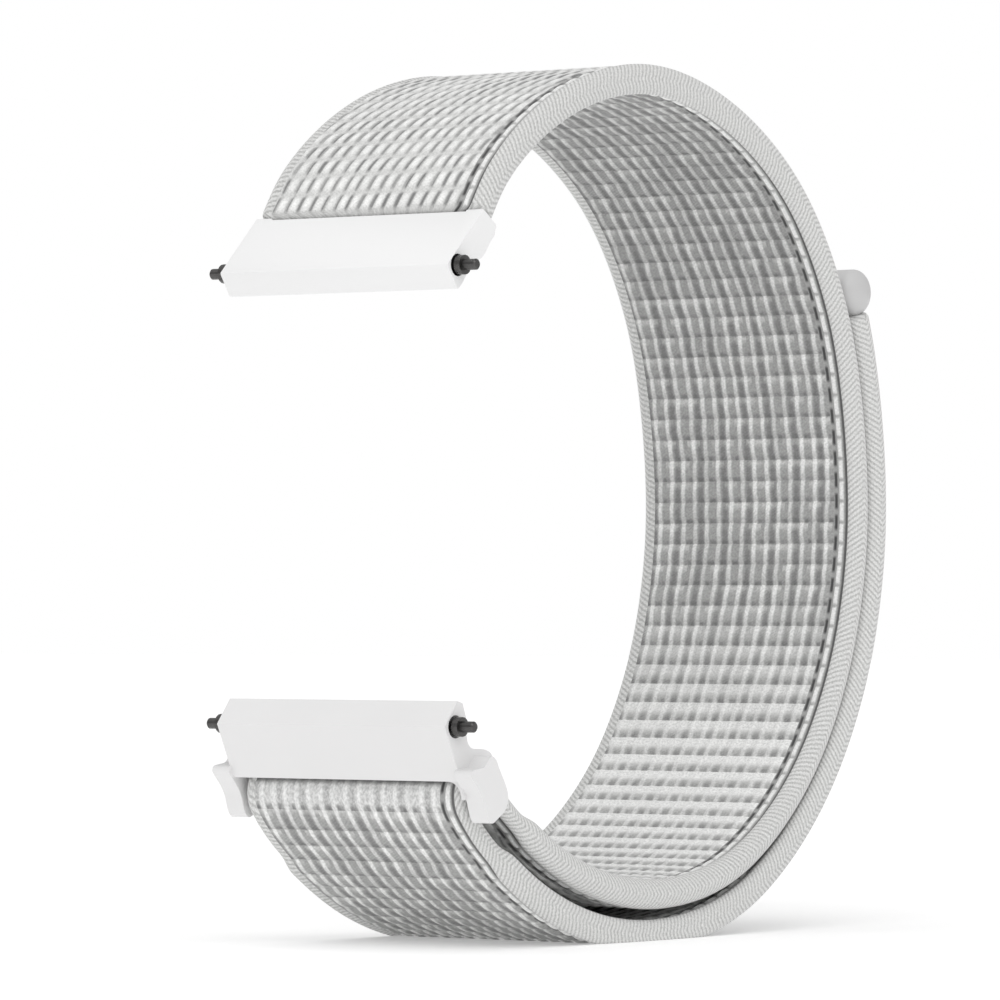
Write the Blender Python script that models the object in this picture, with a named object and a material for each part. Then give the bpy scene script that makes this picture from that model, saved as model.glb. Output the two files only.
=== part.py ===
"""Hook and loop watch strap with two moulded end pieces and their sprung bars.

The woven strap is one loop. Its upper end wraps a steel pin inside the upper end piece.
Its lower end passes through the buckle, folds round the buckle's crossbar and returns along
the outside as a tail, which grips the strap with a hook patch and ends in a plastic rod.

X runs across the strap, Y from the watch side to the back, and Z points up.
The outlines below are drawn in the plane of Y and Z from the middle of the loop. The
finished strap stands with the middle of its footprint at the origin.
"""

import math

import bmesh
import bpy
from mathutils import Vector

MM = 0.001

# The woven strap
STRAP_WIDTH = 20.6 * MM
STRAP_THICKNESS = 2.35 * MM
EDGE_PAD_WIDTH = 1.45 * MM
FACE_SINK = 0.25 * MM
LOOP_HALF_DEPTH = 28.5 * MM
LOOP_HALF_HEIGHT = 31.55 * MM
LAYER_GAP = 0.3 * MM
STATION_STEP = 2.5 * MM
EDGE_STEPS = 4
FLAT_DEPTH = 0.75 * MM

# The middle line of the loop, from the upper end piece over the back to the buckle,
# as shares of the loop's half depth and half height
LOOP_SHARES = [
    (-0.686, 0.739),
    (-0.374, 0.928),
    (0.000, 1.000),
    (0.373, 0.927),
    (0.688, 0.742),
    (0.894, 0.466),
    (0.984, 0.157),
    (0.992, -0.158),
    (0.899, -0.469),
    (0.694, -0.748),
    (0.381, -0.945),
    (0.000, -1.003),
    (-0.375, -0.931),
    (-0.545, -0.849),
]

# The tail, the hook patch and the rod that stops it
TAIL_LENGTH = 96.6 * MM
TAIL_HELD_LENGTH = 35.0 * MM
TAIL_MEETS_AT = 50.0 * MM
FLAP_COUNT = 5
PATCH_INSET = 2.6 * MM
PATCH_WIDTH = STRAP_WIDTH - 2 * PATCH_INSET
PATCH_THICKNESS = 0.5 * MM
PATCH_GAP = 0.1 * MM
ROD_RADIUS = 1.87 * MM
ROD_OVERHANG = 0.05 * MM
ROD_LENGTH = STRAP_WIDTH + 2 * ROD_OVERHANG
ROD_DOME = 1.1 * MM
ROD_SLOT_DEPTH = 1.5 * MM
TONGUE_THICKNESS = 1.2 * MM
TONGUE_INSET = 1.5 * MM
TONGUE_WIDTH = STRAP_WIDTH - 2 * TONGUE_INSET
TONGUE_GAP = 0.1 * MM

# The fold round the buckle's crossbar
CROSSBAR_RADIUS = 0.76 * MM
FOLD_GAP = 0.2 * MM
FOLD_THICKNESS = 1.62 * MM
FOLD_SQUEEZE = 0.2 * MM
FOLD_WIDTH = STRAP_WIDTH - 2 * FOLD_SQUEEZE
FOLD_TURN = math.radians(-143)
FOLD_STEPS = 12
NARROW_LENGTH = 4.4 * MM
WIDEN_LENGTH = 2.5 * MM

# The end pieces. The places of their sprung bars are shares of the loop's half sizes
UPPER_BAR_SHARES = (-0.904, 0.509)
LOWER_BAR_SHARES = (-0.914, -0.579)
END_PIECE_OVERHANG = 0.65 * MM
END_PIECE_WIDTH = STRAP_WIDTH + 2 * END_PIECE_OVERHANG
UPPER_PIECE_RISE = 4.25 * MM
BUCKLE_DROP = 5.26 * MM
MOULD_ROUND = 0.2 * MM
EAR_ROUND = 0.45 * MM
ROUND_STEPS = 2

# Outlines and places, as shares of the end piece's rise above its bar
UPPER_BODY_SHARES = [
    (-0.011, -0.438),
    (-0.303, 0.000),
    (0.708, 1.000),
    (1.103, 0.601),
    (0.930, 0.430),
    (0.571, 0.075),
    (0.325, 0.060),
    (0.303, -0.100),
    (0.124, -0.326),
]
UPPER_EAR_SHARES = [
    (0.135, 0.470),
    (0.620, 1.010),
    (0.720, 1.030),
    (1.110, 0.760),
    (1.120, 0.700),
    (0.764, 0.190),
    (0.560, 0.090),
]
ANCHOR_SHARES = (0.568, 0.461)
MOUTH_DIRECTION_SHARES = (0.65, 0.76)

# Outlines and places, as shares of the crossbar's drop below the buckle's bar
BUCKLE_BODY_SHARES = [
    (0.045, 0.364),
    (-0.245, 0.000),
    (0.125, -0.780),
    (0.236, -0.780),
    (0.264, -0.560),
    (0.300, -0.310),
    (0.262, -0.120),
    (0.250, 0.120),
    (0.170, 0.330),
]
BUCKLE_EAR_SHARES = [
    (0.073, -0.491),
    (0.245, -0.309),
    (0.482, -0.391),
    (0.564, -0.527),
    (0.691, -0.673),
    (0.809, -0.855),
    (0.870, -1.018),
    (0.810, -1.182),
    (0.564, -1.309),
    (0.282, -1.364),
    (0.245, -1.255),
    (0.336, -0.982),
    (0.245, -0.700),
]
BUCKLE_ROOT_SHARES = [
    (0.055, -0.450),
    (0.110, -0.220),
    (0.255, -0.270),
    (0.436, -0.355),
    (0.400, -0.470),
    (0.220, -0.530),
    (0.090, -0.530),
]
CROSSBAR_SHARES = (0.738, -1.000)

# How the strap's upper end is held
ANCHOR_PIN_RADIUS = 0.35 * MM
ANCHOR_PIN_GAP = 0.05 * MM
ANCHOR_BULB_RADIUS = 0.72 * MM
ANCHOR_BULB_GAP = 0.13 * MM
NECK_THICKNESS = 0.6 * MM
NECK_SWING_ROOM = 0.45 * MM
NECK_INSET = 1.1 * MM
NECK_WIDTH = STRAP_WIDTH - 2 * NECK_INSET
NECK_LENGTH = 2.95 * MM
SHOULDER_LENGTH = 0.5 * MM
UPPER_EAR_PROUD = 0.35 * MM
EAR_SIDE_GAP = 0.2 * MM
PIN_SEAT_DEPTH = 0.6 * MM
BUCKLE_EAR_THICKNESS = 1.65 * MM
BUCKLE_EAR_GAP = 0.75 * MM
BUCKLE_ROOT_DEPTH = 1.0 * MM

# The sprung bars
BAR_TUBE_RADIUS = 0.78 * MM
BAR_TUBE_WALL = 0.18 * MM
BAR_RUNNING_GAP = 0.08 * MM
BAR_TUBE_INSET = 1.9 * MM
TUBE_LIP_LENGTH = 0.35 * MM
TIP_SHAFT_RADIUS = 0.42 * MM
TIP_SHAFT_GAP = 0.06 * MM
TIP_HEAD_RADIUS = 0.52 * MM
TIP_HEAD_LENGTH = 0.7 * MM
TIP_FLANGE_RADIUS = 0.74 * MM
TIP_FLANGE_LENGTH = 0.55 * MM
TIP_FLANGE_STANDOFF = 0.15 * MM
TIP_POINT_RADIUS = 0.42 * MM
TIP_POINT_LENGTH = 1.15 * MM
TIP_POINT_CHAMFER = 0.12 * MM
TIP_SEAT_GAP = 0.05 * MM
SPRING_WIRE_RADIUS = 0.07 * MM
SPRING_SIDE_GAP = 0.06 * MM
SPRING_END_GAP = 0.05 * MM
SPRING_TURNS = 14
SPRING_POINTS = 8
TURNED_STEPS = 16
CUT_OVERRUN = 1.0 * MM

MATERIALS = {
    "woven_strap": ((0.80, 0.80, 0.79, 1.0), 0.85, 0.0),
    "hook_patch": ((0.86, 0.86, 0.85, 1.0), 0.60, 0.0),
    "white_moulding": ((0.90, 0.90, 0.90, 1.0), 0.38, 0.0),
    "steel": ((0.42, 0.41, 0.40, 1.0), 0.30, 1.0),
}


def clear_scene():
    """Removes every object, so that the strap is alone in the file."""
    for item in list(bpy.data.objects):
        bpy.data.objects.remove(item, do_unlink=True)


def material(name):
    """The named finish, made once and shared by the pieces that have it."""
    found = bpy.data.materials.get(name)
    if found:
        return found
    colour, roughness, metallic = MATERIALS[name]
    made = bpy.data.materials.new(name)
    made.use_nodes = True
    shader = made.node_tree.nodes["Principled BSDF"]
    shader.inputs["Base Color"].default_value = colour
    shader.inputs["Roughness"].default_value = roughness
    shader.inputs["Metallic"].default_value = metallic
    return made


def new_object(name, mesh_source, finish):
    """Turns a bmesh into an object with outward faces and its own finish."""
    bmesh.ops.recalc_face_normals(mesh_source, faces=mesh_source.faces)
    mesh = bpy.data.meshes.new(name)
    mesh_source.to_mesh(mesh)
    mesh_source.free()
    made = bpy.data.objects.new(name, mesh)
    bpy.context.scene.collection.objects.link(made)
    if finish:
        mesh.materials.append(material(finish))
    return made


def new_guide(name):
    """An empty that marks a joint or the whole strap."""
    made = bpy.data.objects.new(name, None)
    bpy.context.scene.collection.objects.link(made)
    return made


def shade_round(item, angle=math.radians(40)):
    """Shades a round piece smooth and keeps its real edges sharp."""
    item.data.shade_smooth()
    item.data.set_sharp_from_angle(angle=angle)


def hide_cutter(item):
    """Marks a shape that only cuts or joins another."""
    item.hide_render = True
    item.display_type = "WIRE"
    item.hide_set(True)


def combine(target, operand, operation):
    """Cuts the operand out of the target, or joins it on."""
    modifier = target.modifiers.new(f"{operation}_{operand.name}".lower(), "BOOLEAN")
    modifier.operation = operation
    modifier.object = operand
    modifier.solver = "EXACT"
    operand.parent = target
    hide_cutter(operand)


# Geometry in the plane of Y and Z


def left_of(direction):
    """The unit vector a quarter turn anticlockwise."""
    return Vector((-direction.y, direction.x))


def turned_by(direction, angle):
    """The direction turned anticlockwise."""
    cosine, sine = math.cos(angle), math.sin(angle)
    return Vector(
        (
            direction.x * cosine - direction.y * sine,
            direction.x * sine + direction.y * cosine,
        )
    )


def place_at(origin, shares, size):
    """A point given as shares of a size, from an origin."""
    return Vector(origin) + Vector(shares) * size


def place_in_loop(shares):
    """A point given as shares of the loop's half depth and half height."""
    return Vector((shares[0] * LOOP_HALF_DEPTH, shares[1] * LOOP_HALF_HEIGHT))


class Route:
    """A smooth line that can be asked for its point and direction at any length along it."""

    def __init__(self, points):
        self.points = points
        self.lengths = [0.0]
        for before, after in zip(points, points[1:]):
            self.lengths.append(self.lengths[-1] + (after - before).length)
        self.length = self.lengths[-1]

    def at(self, length):
        """The point and the direction there. Past either end the line runs on straight."""
        index = 0
        while index < len(self.points) - 2 and self.lengths[index + 1] < length:
            index += 1
        start, end = self.points[index], self.points[index + 1]
        direction = (end - start).normalized()
        point = start + direction * (length - self.lengths[index])
        return point, self.direction(length)

    def direction(self, length):
        """The direction, averaged over the neighbouring points, so that it turns evenly."""
        reach = self.length / len(self.points)
        ahead = self.plain_point(length + reach)
        behind = self.plain_point(length - reach)
        return (ahead - behind).normalized()

    def plain_point(self, length):
        """The point on the line, with no direction."""
        index = 0
        while index < len(self.points) - 2 and self.lengths[index + 1] < length:
            index += 1
        start, end = self.points[index], self.points[index + 1]
        return start + (end - start).normalized() * (length - self.lengths[index])


def smooth_route(points, first_direction, last_direction, steps=12):
    """A cubic curve through the points, with its direction set at both ends."""
    spans = [(b - a).length for a, b in zip(points, points[1:])]
    slopes = [first_direction]
    for i in range(1, len(points) - 1):
        before, after = spans[i - 1], spans[i]
        into = (points[i] - points[i - 1]) / before
        out = (points[i + 1] - points[i]) / after
        slopes.append((into * after + out * before) / (before + after))
    slopes.append(last_direction)
    dense = []
    for i, span in enumerate(spans):
        for k in range(steps):
            t = k / steps
            dense.append(
                points[i] * (2 * t**3 - 3 * t**2 + 1)
                + slopes[i] * span * (t**3 - 2 * t**2 + t)
                + points[i + 1] * (3 * t**2 - 2 * t**3)
                + slopes[i + 1] * span * (t**3 - t**2)
            )
    dense.append(points[-1])
    return Route(dense)


def ease(share):
    """Runs from 0 to 1 with a level start and end."""
    share = min(max(share, 0.0), 1.0)
    return (1 - math.cos(math.pi * share)) / 2


# The places that every piece shares

UPPER_BAR = place_in_loop(UPPER_BAR_SHARES)
LOWER_BAR = place_in_loop(LOWER_BAR_SHARES)
MOUTH_DIRECTION = Vector(MOUTH_DIRECTION_SHARES).normalized()
ANCHOR = place_at(UPPER_BAR, ANCHOR_SHARES, UPPER_PIECE_RISE)
CROSSBAR = place_at(LOWER_BAR, CROSSBAR_SHARES, BUCKLE_DROP)
FOLD_RADIUS = CROSSBAR_RADIUS + FOLD_GAP + FOLD_THICKNESS / 2
FOLD_OUTWARD = Vector((math.cos(FOLD_TURN), math.sin(FOLD_TURN)))
FOLD_START = CROSSBAR - FOLD_OUTWARD * FOLD_RADIUS
FOLD_START_DIRECTION = turned_by(FOLD_OUTWARD, -math.pi / 2)
CONTACT_SEPARATION = STRAP_THICKNESS + LAYER_GAP
FLAP_LENGTH = (TAIL_LENGTH - TAIL_HELD_LENGTH) / FLAP_COUNT


def loop_route():
    """The middle line of the loop, from the anchor pin to where the fold starts."""
    points = [ANCHOR]
    for shares in LOOP_SHARES:
        points.append(place_in_loop(shares))
    points.append(FOLD_START)
    return smooth_route(points, MOUTH_DIRECTION, FOLD_START_DIRECTION)


def tail_route(loop):
    """The middle line of the tail, which starts at the fold and closes on the loop's outside."""
    steps = 160
    points = []
    for k in range(steps + 1):
        back = loop.length * k / steps
        point, direction = loop.at(loop.length - back)
        apart = 1 - ease(back / TAIL_MEETS_AT)
        separation = CONTACT_SEPARATION + (2 * FOLD_RADIUS - CONTACT_SEPARATION) * apart
        points.append(point + left_of(direction) * separation)
        if back > TAIL_LENGTH:
            break
    return Route(points)


LOOP = loop_route()
TAIL = tail_route(LOOP)


def lowest_height():
    """Height of the surface that the strap stands on, a little above the roundest point."""
    lowest = min(point.y for point in TAIL.points)
    return lowest - STRAP_THICKNESS / 2 + FLAT_DEPTH


# Swept strap lengths


def strap_section(width, thickness, outer_sink, inner_sink, pad_width):
    """The strap cut across: round padded edges, with both faces sunk between them."""
    radius = thickness / 2
    centre = width / 2 - radius
    inside = width / 2 - pad_width
    right, left = [], []
    for k in range(EDGE_STEPS + 1):
        angle = math.pi * k / EDGE_STEPS - math.pi / 2
        right.append((centre + radius * math.cos(angle), radius * math.sin(angle)))
        left.append((-centre - radius * math.cos(angle), -radius * math.sin(angle)))
    outer = radius - outer_sink
    inner = inner_sink - radius
    return right + [(inside, outer), (-inside, outer)] + left + [(-inside, inner), (inside, inner)]


def sweep(name, stations, finish):
    """Joins sections into one closed solid. A station is a point, an outward direction and a section."""
    mesh_source = bmesh.new()
    floor = lowest_height()
    rings = []
    for point, outward, section in stations:
        ring = []
        for across, height in section:
            at = point + outward * height
            ring.append(mesh_source.verts.new((across, at.x, max(at.y, floor))))
        rings.append(ring)
    for ring, following in zip(rings, rings[1:]):
        for k, vertex in enumerate(ring):
            beside = (k + 1) % len(ring)
            mesh_source.faces.new((vertex, ring[beside], following[beside], following[k]))
    mesh_source.faces.new(rings[0])
    mesh_source.faces.new(reversed(rings[-1]))
    made = new_object(name, mesh_source, finish)
    shade_round(made)
    return made


def lengths_between(first, last, step):
    """Even lengths from first to last, no further apart than the step."""
    count = max(1, math.ceil((last - first) / step))
    return [first + (last - first) * k / count for k in range(count + 1)]


def narrowed(from_fold):
    """How far the strap is drawn in at a length from the fold, from 1 at the fold to 0."""
    return 1 - ease((from_fold - NARROW_LENGTH) / WIDEN_LENGTH)


def fold_section(share):
    """The section at a share of the way from the full strap to the drawn-in fold."""
    width = STRAP_WIDTH + (FOLD_WIDTH - STRAP_WIDTH) * share
    thickness = STRAP_THICKNESS + (FOLD_THICKNESS - STRAP_THICKNESS) * share
    sink = FACE_SINK * thickness / STRAP_THICKNESS
    return strap_section(width, thickness, sink, sink, EDGE_PAD_WIDTH)


def anchor_stations():
    """The strap's upper end: a bulb round the pin, a thin neck and the shoulders."""
    stations = []
    for angle in (20, 45, 70, 90, 115):
        turn = math.radians(angle)
        length = -ANCHOR_BULB_RADIUS * math.cos(turn)
        thickness = 2 * ANCHOR_BULB_RADIUS * math.sin(turn)
        stations.append((length, NECK_WIDTH, thickness))
    neck_start = math.sqrt(ANCHOR_BULB_RADIUS**2 - (NECK_THICKNESS / 2) ** 2)
    stations.append((neck_start, NECK_WIDTH, NECK_THICKNESS))
    stations.append((NECK_LENGTH, NECK_WIDTH, NECK_THICKNESS))
    made = []
    for length, width, thickness in stations:
        point, direction = LOOP.at(length)
        section = strap_section(width, thickness, 0.0, 0.0, EDGE_PAD_WIDTH)
        made.append((point, left_of(direction), section))
    return made


def build_band():
    """The inner layer of the strap, from the anchor pin to the fold."""
    stations = anchor_stations()
    full_start = NECK_LENGTH + SHOULDER_LENGTH
    last = LOOP.length - LAYER_GAP / 2
    for length in lengths_between(full_start, last, STATION_STEP):
        point, direction = LOOP.at(length)
        section = fold_section(narrowed(LOOP.length - length))
        stations.append((point, left_of(direction), section))
    band = sweep("strap_band", stations, "woven_strap")
    bore = round_bar("anchor_bore", ANCHOR, ANCHOR_PIN_RADIUS + ANCHOR_PIN_GAP, STRAP_WIDTH)
    combine(band, bore, "DIFFERENCE")
    return band


def build_fold():
    """The half turn round the crossbar."""
    stations = []
    trim = LAYER_GAP / (2 * FOLD_RADIUS)
    for k in range(FOLD_STEPS + 1):
        turn = trim + (math.pi - 2 * trim) * k / FOLD_STEPS
        towards_bar = turned_by(FOLD_OUTWARD, turn)
        point = CROSSBAR - towards_bar * FOLD_RADIUS
        stations.append((point, towards_bar, fold_section(1.0)))
    return sweep("strap_fold", stations, "woven_strap")


def tail_station(length, section):
    """A station on the tail, facing away from the loop."""
    point, direction = TAIL.at(length)
    return point, -left_of(direction), section


def build_tail_lower():
    """The tail's first length, which stays put under the loop and carries the strap."""
    stations = []
    first, last = LAYER_GAP / 2, TAIL_HELD_LENGTH - LAYER_GAP / 2
    for length in lengths_between(first, last, STATION_STEP):
        stations.append(tail_station(length, fold_section(narrowed(length))))
    return sweep("tail_lower", stations, "woven_strap")


def flap_span(index):
    """Where a flap of the tail starts and ends."""
    first = TAIL_HELD_LENGTH + FLAP_LENGTH * index
    return first + LAYER_GAP / 2, first + FLAP_LENGTH - LAYER_GAP / 2


def build_flap(index):
    """One of the lengths that the tail bends in as it is peeled off."""
    first, last = flap_span(index)
    patched = index > 0
    inner_sink = PATCH_THICKNESS + PATCH_GAP + FACE_SINK if patched else FACE_SINK
    pad = (STRAP_WIDTH - PATCH_WIDTH) / 2 - PATCH_GAP if patched else EDGE_PAD_WIDTH
    section = strap_section(STRAP_WIDTH, STRAP_THICKNESS, FACE_SINK, inner_sink, pad)
    is_last = index == FLAP_COUNT - 1
    if is_last:
        last = TAIL_LENGTH - 2 * ROD_RADIUS - LAYER_GAP
    stations = []
    for length in lengths_between(first, last, STATION_STEP):
        stations.append(tail_station(length, section))
    if is_last:
        stations += tongue_stations(last)
    return sweep(f"tail_flap_{index + 1}", stations, "woven_strap")


def tongue_stations(start):
    """The thin end that goes into the rod."""
    section = strap_section(TONGUE_WIDTH, TONGUE_THICKNESS, 0.0, 0.0, EDGE_PAD_WIDTH)
    first = start + SHOULDER_LENGTH / 2
    last = TAIL_LENGTH - ROD_RADIUS + ROD_SLOT_DEPTH / 2 - TONGUE_GAP
    return [tail_station(first, section), tail_station(last, section)]


def build_patch(index):
    """The hook patch under a flap, set into its face."""
    first, last = flap_span(index)
    if index == FLAP_COUNT - 1:
        last = TAIL_LENGTH - 2 * ROD_RADIUS - EDGE_PAD_WIDTH
    half = PATCH_WIDTH / 2
    outer = PATCH_THICKNESS + FACE_SINK - STRAP_THICKNESS / 2
    inner = outer - PATCH_THICKNESS
    section = [(half, inner), (half, outer), (-half, outer), (-half, inner)]
    stations = []
    for length in lengths_between(first, last, STATION_STEP):
        stations.append(tail_station(length, section))
    return sweep(f"hook_patch_{index}", stations, "hook_patch")


# Solids along X


def prism(name, outline, first, last, finish=None):
    """An outline in the plane of Y and Z, drawn out along X."""
    mesh_source = bmesh.new()
    base = [mesh_source.verts.new((first, point.x, point.y)) for point in outline]
    face = mesh_source.faces.new(base)
    drawn = bmesh.ops.extrude_face_region(mesh_source, geom=[face])
    moved = [item for item in drawn["geom"] if isinstance(item, bmesh.types.BMVert)]
    bmesh.ops.translate(mesh_source, verts=moved, vec=(last - first, 0, 0))
    return new_object(name, mesh_source, finish)


def turned(name, centre, profile, finish=None, closed=False):
    """Turns a profile of lengths and radii about a line along X. A closed profile has a bore."""
    mesh_source = bmesh.new()
    rings = []
    for length, radius in profile:
        if radius == 0:
            rings.append([mesh_source.verts.new((length, centre.x, centre.y))])
            continue
        ring = []
        for k in range(TURNED_STEPS):
            angle = 2 * math.pi * k / TURNED_STEPS
            across, up = radius * math.cos(angle), radius * math.sin(angle)
            ring.append(mesh_source.verts.new((length, centre.x + across, centre.y + up)))
        rings.append(ring)
    pairs = list(zip(rings, rings[1:]))
    if closed:
        pairs.append((rings[-1], rings[0]))
    for ring, following in pairs:
        for k in range(TURNED_STEPS):
            beside = (k + 1) % TURNED_STEPS
            corners = [ring[k % len(ring)], ring[beside % len(ring)]]
            corners += [following[beside % len(following)], following[k % len(following)]]
            mesh_source.faces.new(list(dict.fromkeys(corners)))
    made = new_object(name, mesh_source, finish)
    shade_round(made)
    return made


def round_bar(name, centre, radius, width, finish=None, start=None):
    """A plain round bar along X, centred on the strap unless it has a start."""
    first = -width / 2 if start is None else start
    last = first + width
    profile = [(first, 0), (first, radius), (last, radius), (last, 0)]
    return turned(name, centre, profile, finish)


def rounded_outline(points, radius):
    """The outline with its corners rounded, each by no more than its sides allow."""
    rounded = []
    for i, corner in enumerate(points):
        before = points[i - 1] - corner
        after = points[(i + 1) % len(points)] - corner
        reach = min(radius, before.length / 2.2, after.length / 2.2)
        start = corner + before.normalized() * reach
        end = corner + after.normalized() * reach
        for k in range(ROUND_STEPS + 1):
            t = k / ROUND_STEPS
            rounded.append(start * (1 - t) ** 2 + corner * 2 * t * (1 - t) + end * t**2)
    return rounded


def outline_at(origin, shares, size, radius):
    """A rounded outline given as shares of a size, from an origin."""
    points = [place_at(origin, pair, size) for pair in shares]
    return rounded_outline(points, radius)


def slot_outline(start, direction, length, width):
    """A rectangle that starts at a point and runs in a direction."""
    side = left_of(direction) * (width / 2)
    run = direction * length
    return [start - side, start + run - side, start + run + side, start + side]


def bar_bore(piece, name, bar):
    """Cuts the hole that the sprung bar turns in."""
    width = END_PIECE_WIDTH + 2 * CUT_OVERRUN
    bore = round_bar(name, bar, BAR_TUBE_RADIUS + BAR_RUNNING_GAP, width)
    combine(piece, bore, "DIFFERENCE")


def build_upper_piece():
    """The upper end piece: a ridge over the bar, a channel for the strap's end, and two ears."""
    half = END_PIECE_WIDTH / 2
    body_outline = outline_at(UPPER_BAR, UPPER_BODY_SHARES, UPPER_PIECE_RISE, MOULD_ROUND)
    piece = prism("upper_end_piece", body_outline, -half, half, "white_moulding")
    inside = NECK_WIDTH / 2 + EAR_SIDE_GAP
    channel = round_bar(
        "upper_channel", ANCHOR, ANCHOR_BULB_RADIUS + ANCHOR_BULB_GAP, 2 * inside
    )
    combine(piece, channel, "DIFFERENCE")
    mouth_width = NECK_THICKNESS + 2 * NECK_SWING_ROOM
    mouth_outline = slot_outline(ANCHOR, MOUTH_DIRECTION, UPPER_PIECE_RISE, mouth_width)
    combine(piece, prism("upper_mouth", mouth_outline, -inside, inside), "DIFFERENCE")
    ear_outline = outline_at(UPPER_BAR, UPPER_EAR_SHARES, UPPER_PIECE_RISE, EAR_ROUND)
    for side, name in ((-1, "upper_ear_far"), (1, "upper_ear_near")):
        edges = sorted((side * inside, side * (half + UPPER_EAR_PROUD)))
        combine(piece, prism(name, ear_outline, *edges), "UNION")
    pin_length = 2 * inside + PIN_SEAT_DEPTH
    pin_hole = round_bar(
        "pin_hole",
        ANCHOR,
        ANCHOR_PIN_RADIUS + ANCHOR_PIN_GAP,
        pin_length + half,
        start=inside + PIN_SEAT_DEPTH - pin_length - half,
    )
    combine(piece, pin_hole, "DIFFERENCE")
    bar_bore(piece, "upper_bar_bore", UPPER_BAR)
    return piece


def build_anchor_pin():
    """The steel pin inside the strap's upper end."""
    inside = NECK_WIDTH / 2 + EAR_SIDE_GAP
    start = -END_PIECE_WIDTH / 2
    length = inside + PIN_SEAT_DEPTH - TONGUE_GAP - start
    return round_bar("anchor_pin", ANCHOR, ANCHOR_PIN_RADIUS, length, "steel", start)


def build_buckle():
    """The lower end piece: a ridge over the bar, two hooked ears and the crossbar between."""
    half = END_PIECE_WIDTH / 2
    body_outline = outline_at(LOWER_BAR, BUCKLE_BODY_SHARES, BUCKLE_DROP, MOULD_ROUND)
    piece = prism("buckle", body_outline, -half, half, "white_moulding")
    inside = FOLD_WIDTH / 2 + BUCKLE_EAR_GAP
    outside = inside + BUCKLE_EAR_THICKNESS
    ear_outline = outline_at(LOWER_BAR, BUCKLE_EAR_SHARES, BUCKLE_DROP, EAR_ROUND)
    for side, name in ((-1, "buckle_ear_far"), (1, "buckle_ear_near")):
        edges = sorted((side * inside, side * outside))
        combine(piece, prism(name, ear_outline, *edges), "UNION")
    root_outline = outline_at(LOWER_BAR, BUCKLE_ROOT_SHARES, BUCKLE_DROP, MOULD_ROUND)
    for side, name in ((-1, "buckle_root_far"), (1, "buckle_root_near")):
        edges = sorted((side * (half - BUCKLE_ROOT_DEPTH), side * (inside + BUCKLE_ROOT_DEPTH)))
        combine(piece, prism(name, root_outline, *edges), "UNION")
    crossbar = round_bar("buckle_crossbar", CROSSBAR, CROSSBAR_RADIUS, inside + outside)
    combine(piece, crossbar, "UNION")
    bar_bore(piece, "buckle_bar_bore", LOWER_BAR)
    return piece


def rod_centre():
    """The middle of the rod at the tail's end, which lies a little outside the tail's line."""
    point, direction = TAIL.at(TAIL_LENGTH - ROD_RADIUS)
    outward = -left_of(direction)
    shift = STRAP_THICKNESS / 2 + LAYER_GAP + ROD_RADIUS - CONTACT_SEPARATION
    return point + outward * shift, direction, outward * shift


def build_rod():
    """The round rod that keeps the tail from slipping through the buckle."""
    centre, direction, shift = rod_centre()
    half = ROD_LENGTH / 2
    profile = [(-half, 0)]
    dome = [(math.sin(a), math.cos(a)) for a in (math.radians(d) for d in (75, 50, 25, 0))]
    for along, out in dome:
        profile.append((-half + ROD_DOME - ROD_DOME * along, ROD_RADIUS * out))
    for along, out in reversed(dome):
        profile.append((half - ROD_DOME + ROD_DOME * along, ROD_RADIUS * out))
    profile.append((half, 0))
    rod = turned("tail_rod", centre, profile, "white_moulding")
    slot_start = centre - shift + direction * (ROD_SLOT_DEPTH / 2)
    width = TONGUE_THICKNESS + 2 * TONGUE_GAP
    outline = slot_outline(slot_start, -direction, 2 * ROD_RADIUS, width)
    across = TONGUE_WIDTH / 2 + TONGUE_GAP
    combine(rod, prism("rod_slot", outline, -across, across), "DIFFERENCE")
    return rod


# The sprung bars


def tube_end():
    """How far from the middle a bar's tube ends."""
    return END_PIECE_WIDTH / 2 - BAR_TUBE_INSET


def build_tube(name, bar):
    """The bar's tube, with an inward lip at each end that keeps the tips in."""
    end = tube_end()
    bore = BAR_TUBE_RADIUS - BAR_TUBE_WALL
    neck = TIP_SHAFT_RADIUS + TIP_SHAFT_GAP
    lip = end - TUBE_LIP_LENGTH
    profile = [
        (-end, neck),
        (-end, BAR_TUBE_RADIUS),
        (end, BAR_TUBE_RADIUS),
        (end, neck),
        (lip, neck),
        (lip, bore),
        (-lip, bore),
        (-lip, neck),
    ]
    return turned(name, bar, profile, "steel", closed=True)


def head_end():
    """Where a tip's head ends inside the tube, next to the spring."""
    return tube_end() - TUBE_LIP_LENGTH - TIP_SEAT_GAP - TIP_HEAD_LENGTH


def build_tip(name, bar, side):
    """A sprung tip: head inside the tube, shaft, flange and the point that enters the lug."""
    head = head_end()
    shoulder = head + TIP_HEAD_LENGTH
    flange = END_PIECE_WIDTH / 2 + TIP_FLANGE_STANDOFF
    point = flange + TIP_FLANGE_LENGTH
    end = point + TIP_POINT_LENGTH
    profile = [
        (head, 0),
        (head, TIP_HEAD_RADIUS),
        (shoulder, TIP_HEAD_RADIUS),
        (shoulder, TIP_SHAFT_RADIUS),
        (flange, TIP_SHAFT_RADIUS),
        (flange, TIP_FLANGE_RADIUS),
        (point, TIP_FLANGE_RADIUS),
        (point, TIP_POINT_RADIUS),
        (end - TIP_POINT_CHAMFER, TIP_POINT_RADIUS),
        (end, TIP_POINT_RADIUS - TIP_POINT_CHAMFER),
        (end, 0),
    ]
    profile = [(side * length, radius) for length, radius in profile]
    return turned(name, bar, profile, "steel")


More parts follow.
